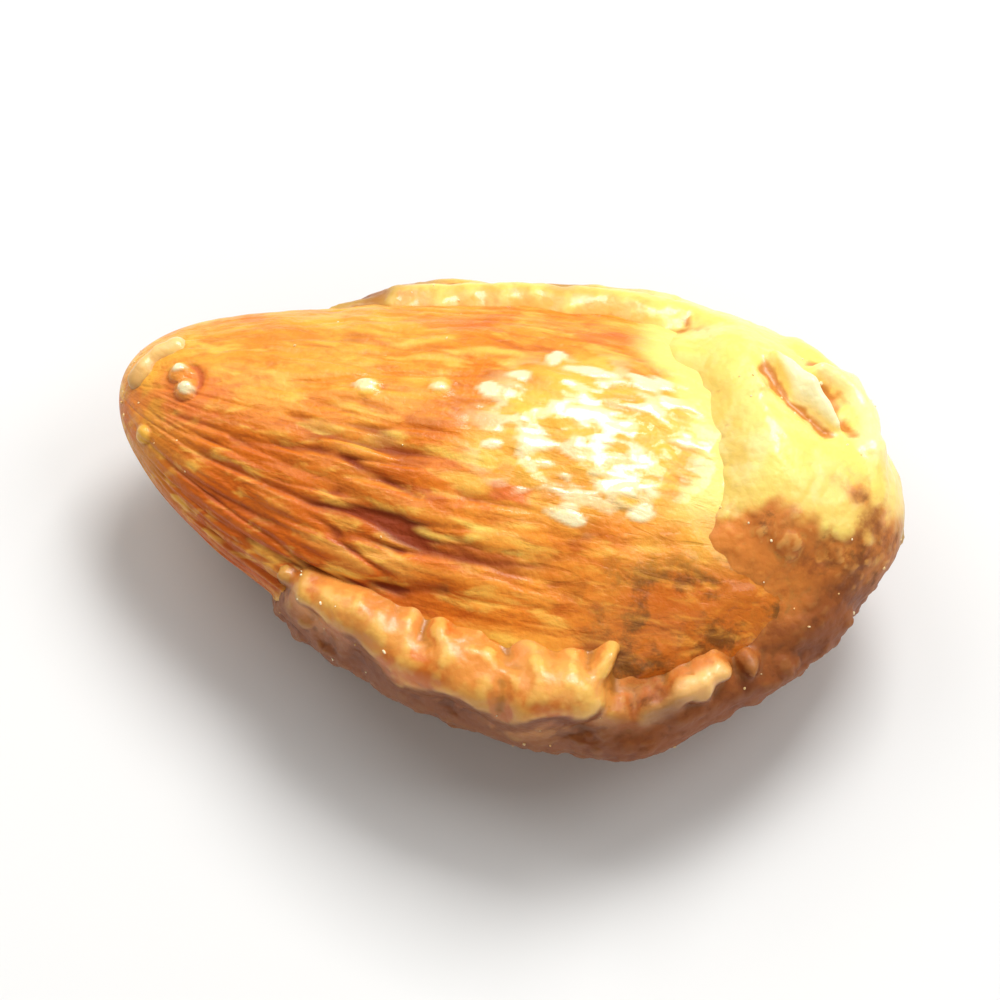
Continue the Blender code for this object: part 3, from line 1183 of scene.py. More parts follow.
    def rough_coat(self) -> bpy.types.Object:
        """Builds the coat's outer form, which dips under the skin in the window.

        Returns:
            The form, closed and without its crust.
        """
        mesh = bmesh.new()
        bmesh.ops.create_cube(mesh, size=2.0)
        bmesh.ops.subdivide_edges(mesh, edges=mesh.edges[:], cuts=self.cuts, use_grid_fill=True)
        cube = np.array([vert.co[:] for vert in mesh.verts])
        units = np.tan(0.25 * math.pi * cube)
        units /= np.linalg.norm(units, axis=1)[:, None]
        depth = self.outer_depth(units)
        points = self.form.surface(units) + self.form.outward(units) * depth[:, None]
        data = bpy.data.meshes.new("coat")
        mesh.to_mesh(data)
        mesh.free()
        SurfaceMesh(data).move_to(points)
        return new_object("coat", data)

    def add_crust(self, surface: SurfaceMesh) -> None:
        """Raises nodules and sinks small pits all over the coat, fewer where it is smooth.

        Args:
            surface: The coat's surface.
        """
        points = surface.points()
        crusty = self.crustiness(points)
        height = self.middle_height * nodules(points, self.middle_size, 0.5, 4.0) * crusty
        height += self.fine_height * nodules(points, self.fine_size, 0.6, 8.0) * (0.15 + crusty)
        height -= self.pit_depth * nodules(points, self.pit_size, 0.12, 12.0) * (0.1 + crusty)
        rough = 0.35 + 0.65 * crusty
        for relief, size, shift in self.roughenings:
            height += relief * noise_at(points, size, shift) * rough
        surface.move_to(points + surface.normals() * height[:, None])

    def hollow_out(self, coat: bpy.types.Object) -> None:
        """Takes the room for the almond out of the coat.

        Args:
            coat: The coat.
        """
        shape, units = self.form.lengthwise_mesh(96, 56)
        mesh = bpy.data.meshes.new("room")
        points = self.form.surface(units) - self.form.outward(units) * self.room_shrink
        for vert, point in zip(shape.verts, points):
            vert.co = point
        shape.to_mesh(mesh)
        shape.free()
        room = new_object("room", mesh)
        cut = coat.modifiers.new("room for the almond", "BOOLEAN")
        cut.operation = "DIFFERENCE"
        cut.solver = "MANIFOLD"
        cut.object = room
        settle(coat)
        bpy.data.objects.remove(room)

    def store_bends(self, surface: SurfaceMesh, points: Array, normals: Array) -> None:
        """Stores how hollow or domed the coat is at each point.

        Args:
            surface: The finished coat's surface.
            points: Its points.
            normals: Its normals.
        """
        near = np.einsum("ij,ij->i", surface.spread(points, 5) - points, normals)
        wide = np.einsum("ij,ij->i", surface.spread(points, 45) - points, normals)
        bend = near / self.near_bend + wide / self.wide_bend
        surface.store("hollow", np.clip(bend, 0.0, 1.0))
        surface.store("crest", np.clip(-bend, 0.0, 1.0))

    def thickness(self, points: Array) -> Array:
        """Measures how thick the toffee is.

        Args:
            points: The coat's points.

        Returns:
            How far each is from the almond.
        """
        shape, units = self.form.lengthwise_mesh(72, 40)
        for vert, point in zip(shape.verts, self.form.surface(units)):
            vert.co = point
        almond = BVHTree.FromBMesh(shape)
        shape.free()
        return np.array([almond.find_nearest(point)[3] for point in points.tolist()])

    def below_cap(self, points: Array, where: Array, angle: Array) -> Array:
        """Measures how far the points are below the cap's uneven foot.

        Args:
            points: The coat's points.
            where: The same points, from the almond's middle.
            angle: The angles round the almond.

        Returns:
            The distances, below 0 on the cap.
        """
        foot = self.foot_angle - self.foot_climb * Span(9.0 * MM, 11.4 * MM).rise(where[:, 0])
        below = np.radians(angle - foot) * np.hypot(where[:, 1], where[:, 2])
        below += MM * (1.5 * noise_at(points, 1.5 * MM, 71.0) + noise_at(points, 0.6 * MM, 72.0))
        return below

    def store_marks(self, surface: SurfaceMesh) -> None:
        """Stores what the toffee's colour depends on: its creases and crests, which carry painted
        shade and highlight, its thickness, its regions, and the painted shade low down and where it
        faces away from the key lamp.

        Args:
            surface: The finished coat's surface.
        """
        points, normals = surface.points(), surface.normals()
        self.store_bends(surface, points, normals)
        surface.store("thick", Span(0.2 * MM, 1.5 * MM).rise(self.thickness(points)))
        where, angle = self.form.around(points)
        along = where[:, 0]
        below = self.below_cap(points, where, angle)
        cap = Span(3.0 * MM, 5.0 * MM).rise(along) * Span(-1.2 * MM, 0.4 * MM).fall(below)
        cap *= 1.0 - 0.5 * Span(11.6 * MM, 13.2 * MM).rise(along) * Span(55.0, 80.0).rise(angle)
        rim = 0.55 * Span(30.0, 60.0).fall(angle)
        poured = np.maximum(cap, rim) * Span(-14.0, 6.0).rise(angle)
        surface.store("poured", poured)
        # Painted shade tint: the poured toffee turns more orange where it faces away from the key
        # lamp.
        lit = normals @ np.array(self.lit_from)
        surface.store("painted_shade_tint", poured * Span(0.5, 0.9).fall(lit))
        # Milk-white: a painted highlight on the tongue, paler toffee on the lip and the crag.
        crag = self.near_folds(points, self.cream_folds)
        tongue = self.near_folds(points, self.milky_glint_folds)
        lip = 0.5 * self.near_folds(points, (self.lip_fold,))
        surface.store("milky_and_glint", np.maximum(np.maximum(tongue, lip) * poured, crag))
        apron = Span(-0.3 * MM, 1.1 * MM).rise(below)
        apron = np.where(angle < -90.0, Span(-150.0, -110.0).fall(angle), apron)
        surface.store("apron", apron * Span(5.9 * MM, 6.8 * MM).rise(along) * (1.0 - crag))
        roll = Span(132.0, 146.0).rise(angle) * Span(176.0, 190.0).fall(angle)
        roll = np.where(angle < 0.0, Span(170.0, 180.0).rise(-angle), roll)
        surface.store("roll", roll * Span(10.0 * MM, 12.0 * MM).fall(along))
        # Painted shade: the coat is browner low down and where its front turns under.
        front = Span(0.0, 3.0 * MM).rise(-where[:, 1])
        low = points[:, 2] + MM * (1.2 * noise_at(points, 2.2 * MM, 73.0) - 0.9 * front)
        under = normals[:, 2] + 0.3 * noise_at(points, 1.4 * MM, 74.0)
        under = front * Span(-0.1, 0.35).fall(under)
        surface.store("low", np.maximum(Span(4.3 * MM, 6.6 * MM).fall(low), under))

    def build(self, finish: bpy.types.Material) -> bpy.types.Object:
        """Builds the coat.

        Args:
            finish: The toffee's material.

        Returns:
            The coat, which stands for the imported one.
        """
        coat = self.rough_coat()
        melt = coat.modifiers.new("one skin", "REMESH")
        melt.mode = "VOXEL"
        melt.voxel_size = self.voxel
        settle(coat)
        surface = SurfaceMesh(coat.data)
        surface.move_to(surface.spread(surface.points(), 5))
        self.add_crust(surface)
        points = surface.points()
        points[:, 2] = np.maximum(points[:, 2], 0.0)
        surface.move_to(points)
        self.hollow_out(coat)
        self.store_marks(SurfaceMesh(coat.data))
        coat.data.shade_smooth()
        coat.data.materials.clear()
        coat.data.materials.append(finish)
        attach(coat, "root")
        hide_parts("toffee_coat")
        return coat


@dataclass(frozen=True)
class SugarGrains:
    """Grains of sugar that stuck to the toffee, and a few to the skin."""

    tries: int = 320
    seed: int = 11
    shares: tuple[float, float] = (0.8, 0.2)
    crowd_length: float = 3.0 * MM
    lowest: float = 0.6 * MM
    smallest: float = 0.05 * MM
    largest: float = 0.13 * MM

    def build(
        self, coat: bpy.types.Object, skin: bpy.types.Object, finish: bpy.types.Material
    ) -> bpy.types.Object:
        """Builds all the grains as one piece.

        Args:
            coat: The toffee that most grains lie on.
            skin: The skin that a few lie on.
            finish: The sugar's material.

        Returns:
            The grains.
        """
        random = np.random.default_rng(self.seed)
        grains = bmesh.new()
        middle = np.array(KernelForm().centre)
        for carrier, share in zip((coat, skin), self.shares):
            surface = SurfaceMesh(carrier.data)
            points, normals = surface.points(), surface.normals()
            chosen = random.integers(0, len(points), int(self.tries * share))
            crowd = noise_at(points[chosen], self.crowd_length, 44.0)
            for index, thick in zip(chosen, crowd):
                inner = carrier is coat and normals[index] @ (points[index] - middle) < 0.0
                if thick < random.uniform(-0.6, 0.5) or inner or points[index, 2] < self.lowest:
                    continue
                self.add_grain(grains, points[index], normals[index], random)
        mesh = bpy.data.meshes.new("sugar_grains")
        grains.to_mesh(mesh)
        grains.free()
        mesh.materials.append(finish)
        piece = new_object("sugar_grains", mesh)
        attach(piece, "root")
        return piece

    def add_grain(
        self, grains: bmesh.types.BMesh, point: Array, normal: Array, random: np.random.Generator
    ) -> None:
        """Adds one crystal, a rough block with its corners cut off.

        Args:
            grains: The mesh to add to.
            point: Where it lies.
            normal: The way out of the surface there.
            random: The source of its size and turn.
        """
        size = self.smallest + (self.largest - self.smallest) * random.random() ** 2
        turn = Vector(random.normal(size=3)).to_track_quat("Z", "Y").to_matrix().to_4x4()
        sides = size * random.uniform(0.55, 1.4, 3)
        scale = Matrix.Diagonal((*sides, 1.0))
        place = Matrix.Translation(Vector(point + normal * (0.05 * size)))
        bmesh.ops.create_icosphere(grains, subdivisions=1, radius=0.6, matrix=place @ turn @ scale)


class NodeSketch:
    """Adds nodes to one tree and joins them."""

    def __init__(self, tree: bpy.types.NodeTree) -> None:
        """Starts on a tree."""
        self.tree = tree

    def add(self, kind: str, **settings: object) -> bpy.types.Node:
        """Adds a node.

        Args:
            kind: Blender's name for the node, without its ShaderNode.
            settings: Its properties, and its inputs by name with _ for spaces.

        Returns:
            The new node.
        """
        node = self.tree.nodes.new(f"ShaderNode{kind}")
        for name, value in settings.items():
            if hasattr(node, name):
                setattr(node, name, value)
            else:
                self.feed(node.inputs[name.replace("_", " ")], value)
        return node

    def feed(self, socket: bpy.types.NodeSocket, value: object) -> None:
        """Joins another node's output to an input, or sets the input to a plain value.

        Args:
            socket: The input.
            value: The output, number, colour or vector for it.
        """
        if isinstance(value, bpy.types.NodeSocket):
            self.tree.links.new(value, socket)
        elif isinstance(value, tuple) and len(value) == 3 and socket.type == "RGBA":
            socket.default_value = (*value, 1.0)
        else:
            socket.default_value = value

    def maths(self, operation: str, *values: object) -> bpy.types.NodeSocket:
        """Adds a sum or another calculation on numbers.

        Args:
            operation: Blender's name for it.
            values: Its numbers or outputs, in order.

        Returns:
            The result.
        """
        node = self.tree.nodes.new("ShaderNodeMath")
        node.operation = operation
        for socket, value in zip(node.inputs, values):
            self.feed(socket, value)
        return node.outputs[0]

    def blend(self, share: object, first: object, second: object) -> bpy.types.NodeSocket:
        """Mixes two colours.

        Args:
            share: How much of the second there is.
            first: One colour or output.
            second: The other.

        Returns:
            The mixed colour.
        """
        node = self.tree.nodes.new("ShaderNodeMix")
        node.data_type = "RGBA"
        self.feed(node.inputs[0], share)
        self.feed(node.inputs[6], first)
        self.feed(node.inputs[7], second)
        return node.outputs[2]

    def lay(
        self, colour: object, mask: object, share: object, tint: object
    ) -> bpy.types.NodeSocket:
        """Lays a tint over a colour where a mask says so.

        Args:
            colour: The colour so far.
            mask: Where the tint goes.
            share: How much of it there is at most.
            tint: The tint.

        Returns:
            The new colour.
        """
        return self.blend(self.maths("MULTIPLY", mask, share), colour, tint)

    def mask(
        self, group: bpy.types.NodeTree, size: float, low: float, high: float
    ) -> bpy.types.NodeSocket:
        """Places a shared group that puts out a mask.

        Args:
            group: The group.
            size: How fine its pattern is.
            low: The noise that becomes 0.
            high: The noise that becomes 1.

        Returns:
            The mask.
        """
        return self.add("Group", node_tree=group, Size=size, Low=low, High=high).outputs[0]

    def spread(self, value: object, low: float, high: float) -> bpy.types.NodeSocket:
        """Stretches a value smoothly.

        Args:
            value: The output to stretch.
            low: What becomes 0.
            high: What becomes 1.

        Returns:
            The stretched value.
        """
        node = self.tree.nodes.new("ShaderNodeMapRange")
        node.interpolation_type = "SMOOTHSTEP"
        self.feed(node.inputs[0], value)
        node.inputs[1].default_value = low
        node.inputs[2].default_value = high
        return node.outputs[0]

    def mark(self, name: str) -> bpy.types.NodeSocket:
        """Reads a value that the mesh keeps for each point."""
        return self.add("Attribute", attribute_name=name).outputs["Fac"]


def new_group(name: str, inputs: dict[str, float], outputs: dict[str, str]) -> bpy.types.NodeTree:
    """Starts a shader group.

    Args:
        name: The group's name.
        inputs: Its number inputs and their usual values.
        outputs: Its outputs and their socket types.

    Returns:
        The group's tree, with its input and output nodes in place.
    """
    tree = bpy.data.node_groups.new(name, "ShaderNodeTree")
    for socket_name, value in inputs.items():
        socket = tree.interface.new_socket(
            socket_name, in_out="INPUT", socket_type="NodeSocketFloat"
        )
        socket.default_value = value
    for socket_name, kind in outputs.items():
        tree.interface.new_socket(socket_name, in_out="OUTPUT", socket_type=kind)
    tree.nodes.new("NodeGroupInput")
    tree.nodes.new("NodeGroupOutput")
    return tree


def put_out_mask(
    tree: bpy.types.NodeTree, sketch: NodeSketch, value: bpy.types.NodeSocket
) -> None:
    """Stretches noise between a group's Low and High and puts it out as its mask.

    Args:
        tree: The group's tree.
        sketch: The sketch of it.
        value: The noise.
    """
    given = tree.nodes["Group Input"].outputs
    node = sketch.add("MapRange", interpolation_type="SMOOTHSTEP", Value=value)
    sketch.feed(node.inputs[1], given["Low"])
    sketch.feed(node.inputs[2], given["High"])
    sketch.feed(tree.nodes["Group Output"].inputs["Mask"], node.outputs[0])


def patches_group() -> bpy.types.NodeTree:
    """Builds soft patches of uneven colour, coarse with fine ones over them.

    Returns:
        The group, which puts out a mask.
    """
    tree = new_group(
        "patches", {"Size": 400.0, "Low": 0.4, "High": 0.6}, {"Mask": "NodeSocketFloat"}
    )
    sketch = NodeSketch(tree)
    given = tree.nodes["Group Input"].outputs
    place = sketch.add("TexCoord").outputs["Object"]
    clouds = sketch.add("TexNoise", Vector=place, Scale=given["Size"], Detail=5.0, Roughness=0.62)
    put_out_mask(tree, sketch, clouds.outputs[0])
    return tree


def grain_group() -> bpy.types.NodeTree:
    """Builds the fine relief of a sugared surface, soft waves with small pimples.

    Returns:
        The group, which puts out a height.
    """
    tree = new_group("grain", {"Size": 2500.0, "Pimples": 0.5}, {"Height": "NodeSocketFloat"})
    sketch = NodeSketch(tree)
    given = tree.nodes["Group Input"].outputs
    place = sketch.add("TexCoord").outputs["Object"]
    waves = sketch.add("TexNoise", Vector=place, Scale=given["Size"], Detail=4.0)
    cells = sketch.add("TexVoronoi", Vector=place, Scale=given["Size"])
    pimple = sketch.maths("SUBTRACT", 1.0, cells.outputs["Distance"])
    pimple = sketch.maths("MULTIPLY", pimple, given["Pimples"])
    total = sketch.maths("ADD", waves.outputs[0], pimple)
    sketch.feed(tree.nodes["Group Output"].inputs["Height"], total)
    return tree


def streaks_group() -> bpy.types.NodeTree:
    """Builds thin fibres that run along the almond.

    Returns:
        The group, which puts out a mask.
    """
    tree = new_group(
        "streaks", {"Size": 3000.0, "Low": 0.4, "High": 0.6}, {"Mask": "NodeSocketFloat"}
    )
    sketch = NodeSketch(tree)
    given = tree.nodes["Group Input"].outputs
    place = sketch.add("TexCoord").outputs["Object"]
    drawn_out = sketch.add("Mapping", Vector=place, Scale=(0.3, 1.0, 1.0))
    fibres = sketch.add(
        "TexNoise", Vector=drawn_out.outputs[0], Scale=given["Size"], Detail=3.0, Distortion=0.6
    )
    put_out_mask(tree, sketch, fibres.outputs[0])
    return tree


@dataclass(frozen=True)
class SurfaceEffects:
    """The shader groups that several finishes share."""

    patches: bpy.types.NodeTree
    grain: bpy.types.NodeTree
    streaks: bpy.types.NodeTree


def new_material(name: str) -> tuple[bpy.types.Material, NodeSketch, bpy.types.Node]:
    """Starts a material.

    Args:
        name: The material's name.

    Returns:
        The material, a sketch of its tree, and its Principled shader.
    """
    material = bpy.data.materials.new(name)
    material.use_nodes = True
    tree = material.node_tree
    return material, NodeSketch(tree), tree.nodes["Principled BSDF"]


@dataclass(frozen=True)
class SkinFinish:
    """Roasted almond skin under a thin gloss of syrup."""

    crest: Colour = tone(253, 167, 60)
    middle: Colour = tone(238, 134, 32)
    # The colour of the painted highlight on the strands' crests.
    rise: Colour = tone(253, 192, 88)
    # The colour of the painted shade in grooves and creases.
    groove: Colour = tone(140, 52, 6)
    fleck: Colour = tone(186, 84, 14)
    film: Colour = tone(255, 206, 84)
    spill: Colour = tone(255, 236, 132)
    # The colour of the painted glare.
    glaze_and_glare: Colour = tone(255, 245, 196)
    # The colour of the painted shade on the front and underside.
    deep: Colour = tone(206, 92, 10)
    blush: Colour = tone(226, 108, 50)
    # The colour of the painted gleams.
    gleam: Colour = tone(255, 212, 98)
    # The colour of the painted highlight streaks.
    streak_highlight: Colour = tone(255, 199, 86)
    burnt: Colour = tone(202, 98, 18)
    char: Colour = tone(112, 46, 8)
    roughness: float = 0.36
    shine: float = 0.25
    grain_height: float = 0.07 * MM
    syrup: float = 0.85
    syrup_roughness: float = 0.12
    syrup_bend: float = 1.65
    glow: float = 0.15
    glow_reach: float = 0.4 * MM
    glow_spread: tuple[float, float, float] = (1.0, 0.4, 0.15)

    def colour(
        self,
        sketch: NodeSketch,
        effects: SurfaceEffects,
        small: bpy.types.NodeSocket,
        fibres: bpy.types.NodeSocket,
    ) -> bpy.types.NodeSocket:
        """Lays the skin's colours over each other, painted glare, highlights and shade among them.

        Args:
            sketch: The material's sketch.
            effects: The shared shader groups.
            small: The mask of small patches.
            fibres: The mask of fibres.

        Returns:
            The colour.
        """
        wide = sketch.mask(effects.patches, 240.0, 0.36, 0.64)
        dabs = sketch.mask(effects.streaks, 1700.0, 0.5, 0.7)
        shades = sketch.mask(effects.streaks, 1250.0, 0.5, 0.7)
        colour = sketch.blend(wide, self.crest, self.middle)
        # Painted shade on the front and underside.
        colour = sketch.lay(colour, sketch.mark("deep"), 0.62, self.deep)
        colour = sketch.lay(colour, fibres, 0.4, self.fleck)
        colour = sketch.lay(colour, small, 0.3, self.fleck)
        # Painted highlight: short pale streaks.
        colour = sketch.lay(colour, dabs, 0.65, self.streak_highlight)
        colour = sketch.lay(colour, shades, 0.6, self.fleck)
        # Painted highlight along the strands' crests.
        rise = sketch.spread(sketch.mark("rise"), 0.1, 0.9)
        colour = sketch.lay(colour, rise, 0.55, self.rise)
        # Painted highlight: gleams along the strands.
        colour = sketch.lay(colour, sketch.mark("gleam"), 0.9, self.gleam)
        # Painted shade: darker in the grooves, the creases and the ring round the tip's drop.
        groove = sketch.spread(sketch.mark("groove"), 0.08, 0.85)
        colour = sketch.blend(groove, colour, self.groove)
        # Pale film of syrup, which on the broad top is painted glare.
        colour = sketch.lay(colour, sketch.mark("film"), 0.65, self.film)
        colour = sketch.lay(colour, sketch.mark("blush"), 0.8, self.blush)
        # Painted highlight: pale blotches of glare over the raised syrup.
        colour = sketch.lay(colour, sketch.mark("glaze_and_glare"), 0.85, self.glaze_and_glare)
        colour = sketch.lay(colour, sketch.mark("spill"), 0.85, self.spill)
        mottle = sketch.mask(effects.patches, 620.0, 0.48, 0.62)
        brown = sketch.blend(mottle, self.burnt, self.char)
        # The same painted highlight streaks, in orange, on the browned apron.
        brown = sketch.lay(brown, dabs, 0.5, self.crest)
        return sketch.lay(colour, sketch.mark("apron"), 0.85, brown)

    def build(self, effects: SurfaceEffects) -> bpy.types.Material:
        """Builds the skin's material.

        Args:
            effects: The shared shader groups.

        Returns:
            The material.
        """
        material, sketch, shader = new_material("almond_skin")
        small = sketch.mask(effects.patches, 1500.0, 0.5, 0.72)
        fibres = sketch.mask(effects.streaks, 2700.0, 0.42, 0.68)
        groove, film, glaze_and_glare = (sketch.mark(name) for name in ("groove", "film", "glaze_and_glare"))
        colour = self.colour(sketch, effects, small, fibres)
        sketch.feed(shader.inputs["Base Color"], colour)
        rough = sketch.maths("MULTIPLY_ADD", small, 0.2, self.roughness)
        rough = sketch.maths("MULTIPLY_ADD", groove, 0.3, rough)
        rough = sketch.maths("MULTIPLY_ADD", glaze_and_glare, -0.18, rough)
        sketch.feed(shader.inputs["Roughness"], rough)
        wet = sketch.maths("MULTIPLY_ADD", film, 0.2, 0.15)
        wet = sketch.maths("MULTIPLY_ADD", glaze_and_glare, 0.65, wet)
        dry = sketch.maths("SUBTRACT", 1.0, groove)
        syrup = sketch.maths("MULTIPLY", sketch.maths("MULTIPLY", wet, dry), self.syrup)
        sketch.feed(shader.inputs["Coat Weight"], syrup)
        relief = sketch.add("Group", node_tree=effects.grain, Size=4200.0, Pimples=0.4)
        height = sketch.maths("MULTIPLY_ADD", fibres, -0.4, relief.outputs[0])
        bump = sketch.add("Bump", Strength=0.6, Distance=self.grain_height, Height=height)
        sketch.feed(shader.inputs["Normal"], bump.outputs[0])
        shader.inputs["Specular IOR Level"].default_value = self.shine
        shader.inputs["Coat Roughness"].default_value = self.syrup_roughness
        shader.inputs["Coat IOR"].default_value = self.syrup_bend
        shader.inputs["Subsurface Weight"].default_value = self.glow
        shader.inputs["Subsurface Radius"].default_value = self.glow_spread
        shader.inputs["Subsurface Scale"].default_value = self.glow_reach
        return material


@dataclass(frozen=True)
class ToffeeMasks:
    """The masks that the toffee's colours share."""

    wide: bpy.types.NodeSocket
    middle: bpy.types.NodeSocket
    small: bpy.types.NodeSocket
    poured: bpy.types.NodeSocket
    roll: bpy.types.NodeSocket
    crest: bpy.types.NodeSocket
    low: bpy.types.NodeSocket


@dataclass(frozen=True)
class ToffeeFinish:
    """Set butter toffee: pale and cloudy where thick, amber where thin, with painted shade darkening
    its creases and hollows and painted highlight on its crests.
    """

    pale: Colour = tone(253, 228, 116)
    cream: Colour = tone(253, 204, 104)
    butter: Colour = tone(246, 170, 66)
    # Also the colour of the painted highlight on the tongue.
    milk: Colour = tone(255, 243, 194)
    amber: Colour = tone(218, 112, 26)
    fold: Colour = tone(208, 134, 52)
    bronze: Colour = tone(198, 106, 26)
    umber: Colour = tone(126, 60, 12)
    tan: Colour = tone(226, 156, 78)
    dark: Colour = tone(118, 70, 24)
    peach: Colour = tone(233, 145, 64)
    biscuit: Colour = tone(250, 196, 120)
    skin: Colour = tone(232, 138, 48)
    roughness: float = 0.38
    shine: float = 0.4
    grain_height: float = 0.06 * MM
    gloss: float = 0.55
    gloss_roughness: float = 0.18
    glow: float = 0.3
    glow_reach: float = 0.8 * MM
    glow_spread: tuple[float, float, float] = (1.0, 0.68, 0.32)

    def masks(self, sketch: NodeSketch, effects: SurfaceEffects) -> ToffeeMasks:
        """Places the patches and reads the marks that several colours need.

        Args:
            sketch: The material's sketch.
            effects: The shared shader groups.

        Returns:
            The masks.
        """
        wide = sketch.mask(effects.patches, 210.0, 0.4, 0.6)
        middle = sketch.mask(effects.patches, 520.0, 0.48, 0.66)
        small = sketch.mask(effects.patches, 1500.0, 0.52, 0.74)
        poured = sketch.mark("poured")
        roll = sketch.maths("MULTIPLY", sketch.mark("roll"), 0.75)
        # Painted highlight on the crests, less on the rolls.
        crest = sketch.spread(sketch.mark("crest"), 0.25, 1.0)
        crest = sketch.maths("MULTIPLY", crest, sketch.maths("MULTIPLY_ADD", roll, -0.45, 0.75))
        # Painted shade low on the coat.
        low = sketch.maths("MULTIPLY", sketch.mark("low"), 0.95)
        return ToffeeMasks(wide, middle, small, poured, roll, crest, low)

    def smooth_colour(self, sketch: NodeSketch, masks: ToffeeMasks) -> bpy.types.NodeSocket:
        """Colours the poured toffee: yellow on the cap, peach on the rolls, milk-white on the folds,
        with a painted highlight on the tongue and crests and a painted shade tint where it faces away
        from the key lamp.

        Args:
            sketch: The material's sketch.
            masks: The shared masks.

        Returns:
            The colour.
        """
        poured, middle = masks.poured, masks.middle
        pale = sketch.blend(sketch.maths("MULTIPLY_ADD", poured, 0.5, 0.5), self.cream, self.pale)
        butter = sketch.blend(poured, self.butter, self.pale)
        colour = sketch.blend(masks.wide, pale, butter)
        mottle = sketch.maths("MULTIPLY_ADD", poured, -0.7, 0.75)
        colour = sketch.lay(colour, middle, mottle, self.amber)
        thin = sketch.maths("SUBTRACT", 1.0, sketch.spread(sketch.mark("thick"), 0.02, 0.55))
        thinner = sketch.maths("MULTIPLY_ADD", poured, -0.5, 0.6)
        colour = sketch.lay(colour, thin, thinner, self.amber)
        specks = sketch.maths("MULTIPLY_ADD", poured, -0.35, 0.5)
        colour = sketch.lay(colour, masks.small, specks, self.amber)
        colour = sketch.blend(masks.roll, colour, sketch.blend(middle, self.peach, self.amber))
        # Painted highlight: paler on the crests.
        colour = sketch.blend(masks.crest, colour, pale)
        # Painted shade tint where the poured toffee faces away from the key lamp.
        colour = sketch.lay(colour, sketch.mark("painted_shade_tint"), 0.5, self.cream)
        # Milk-white clouds on the poured toffee, and the painted highlight on the tongue.
        cloud = sketch.maths("MULTIPLY", sketch.maths("MULTIPLY", middle, poured), 0.25)
        milky_and_glint = sketch.maths("MAXIMUM", sketch.maths("MULTIPLY", sketch.mark("milky_and_glint"), 0.9), cloud)
        return sketch.blend(milky_and_glint, colour, sketch.blend(poured, self.biscuit, self.milk))

    def brown_colour(self, sketch: NodeSketch, masks: ToffeeMasks) -> bpy.types.NodeSocket:
        """Colours the browned crust of the apron, and the painted shade of the lower side.

        Args:
            sketch: The material's sketch.
            masks: The shared masks.

        Returns:
            The colour.
        """
        brown = sketch.blend(masks.middle, self.bronze, self.umber)
        brown = sketch.lay(brown, masks.wide, 0.3, self.peach)
        # Painted highlight: tan on the crests.
        brown = sketch.blend(masks.crest, brown, self.tan)
        return sketch.blend(masks.small, brown, self.dark)

    def build(self, effects: SurfaceEffects) -> bpy.types.Material:
        """Builds the toffee's material.

        Args:
            effects: The shared shader groups.

        Returns:
            The material.
        """
        material, sketch, shader = new_material("toffee")
        masks = self.masks(sketch, effects)
        colour = self.smooth_colour(sketch, masks)
        brown = self.brown_colour(sketch, masks)
        clear = sketch.maths("SUBTRACT", 0.75, sketch.spread(sketch.mark("thick"), 0.0, 0.3))
        amber = sketch.blend(masks.middle, self.skin, self.bronze)
        clear = sketch.blend(clear, brown, amber)
        colour = sketch.lay(colour, sketch.mark("apron"), 0.92, clear)
        # Painted shade: dark brown low on the coat.
        colour = sketch.blend(masks.low, colour, sketch.blend(0.85, brown, self.umber))
        calm = sketch.maths("MULTIPLY_ADD", masks.poured, -0.25, 1.0)
        # Painted shade: darker in the hollows and creases, browner still low down.
        hollow = sketch.maths("MULTIPLY", sketch.mark("hollow"), calm)
        tint = sketch.blend(masks.low, self.fold, self.umber)
        colour = sketch.blend(sketch.spread(hollow, 0.15, 0.75), colour, tint)
        colour = sketch.blend(sketch.spread(hollow, 0.7, 1.5), colour, self.dark)
        sketch.feed(shader.inputs["Base Color"], colour)
        rough = sketch.maths("MULTIPLY_ADD", masks.small, 0.22, self.roughness)
        rough = sketch.maths("MULTIPLY_ADD", sketch.mark("apron"), 0.2, rough)
        sketch.feed(shader.inputs["Roughness"], rough)
        relief = sketch.add("Group", node_tree=effects.grain, Size=3600.0, Pimples=0.8)
        bump = sketch.add(
            "Bump", Strength=0.45, Distance=self.grain_height, Height=relief.outputs[0]
        )
        sketch.feed(shader.inputs["Normal"], bump.outputs[0])
        matt = sketch.maths("MAXIMUM", sketch.mark("apron"), sketch.mark("low"))
        matt = sketch.maths("MAXIMUM", matt, sketch.maths("MULTIPLY", sketch.mark("roll"), 0.6))
        matt = sketch.maths("MAXIMUM", matt, hollow)
        gloss = sketch.maths("MULTIPLY_ADD", matt, -0.85 * self.gloss, self.gloss)
        sketch.feed(shader.inputs["Coat Weight"], gloss)
        shader.inputs["Specular IOR Level"].default_value = self.shine
        shader.inputs["Coat Roughness"].default_value = self.gloss_roughness
        shader.inputs["Subsurface Weight"].default_value = self.glow
        shader.inputs["Subsurface Radius"].default_value = self.glow_spread
        shader.inputs["Subsurface Scale"].default_value = self.glow_reach
        return material


@dataclass(frozen=True)
class SugarFinish:
    """Pale, half clear grains of sugar."""

    white: Colour = tone(255, 240, 196)
    honey: Colour = tone(250, 205, 130)
    roughness: float = 0.18

    def build(self, effects: SurfaceEffects) -> bpy.types.Material:
        """Builds the sugar's material.

        Args:
            effects: The shared shader groups.

        Returns:
            The material.
        """
        material, sketch, shader = new_material("sugar")
        mixed = sketch.mask(effects.patches, 700.0, 0.4, 0.6)
        colour = sketch.blend(mixed, self.white, self.honey)
        sketch.feed(shader.inputs["Base Color"], colour)
        rough = sketch.maths("MULTIPLY_ADD", mixed, 0.2, self.roughness)
        sketch.feed(shader.inputs["Roughness"], rough)
        return material


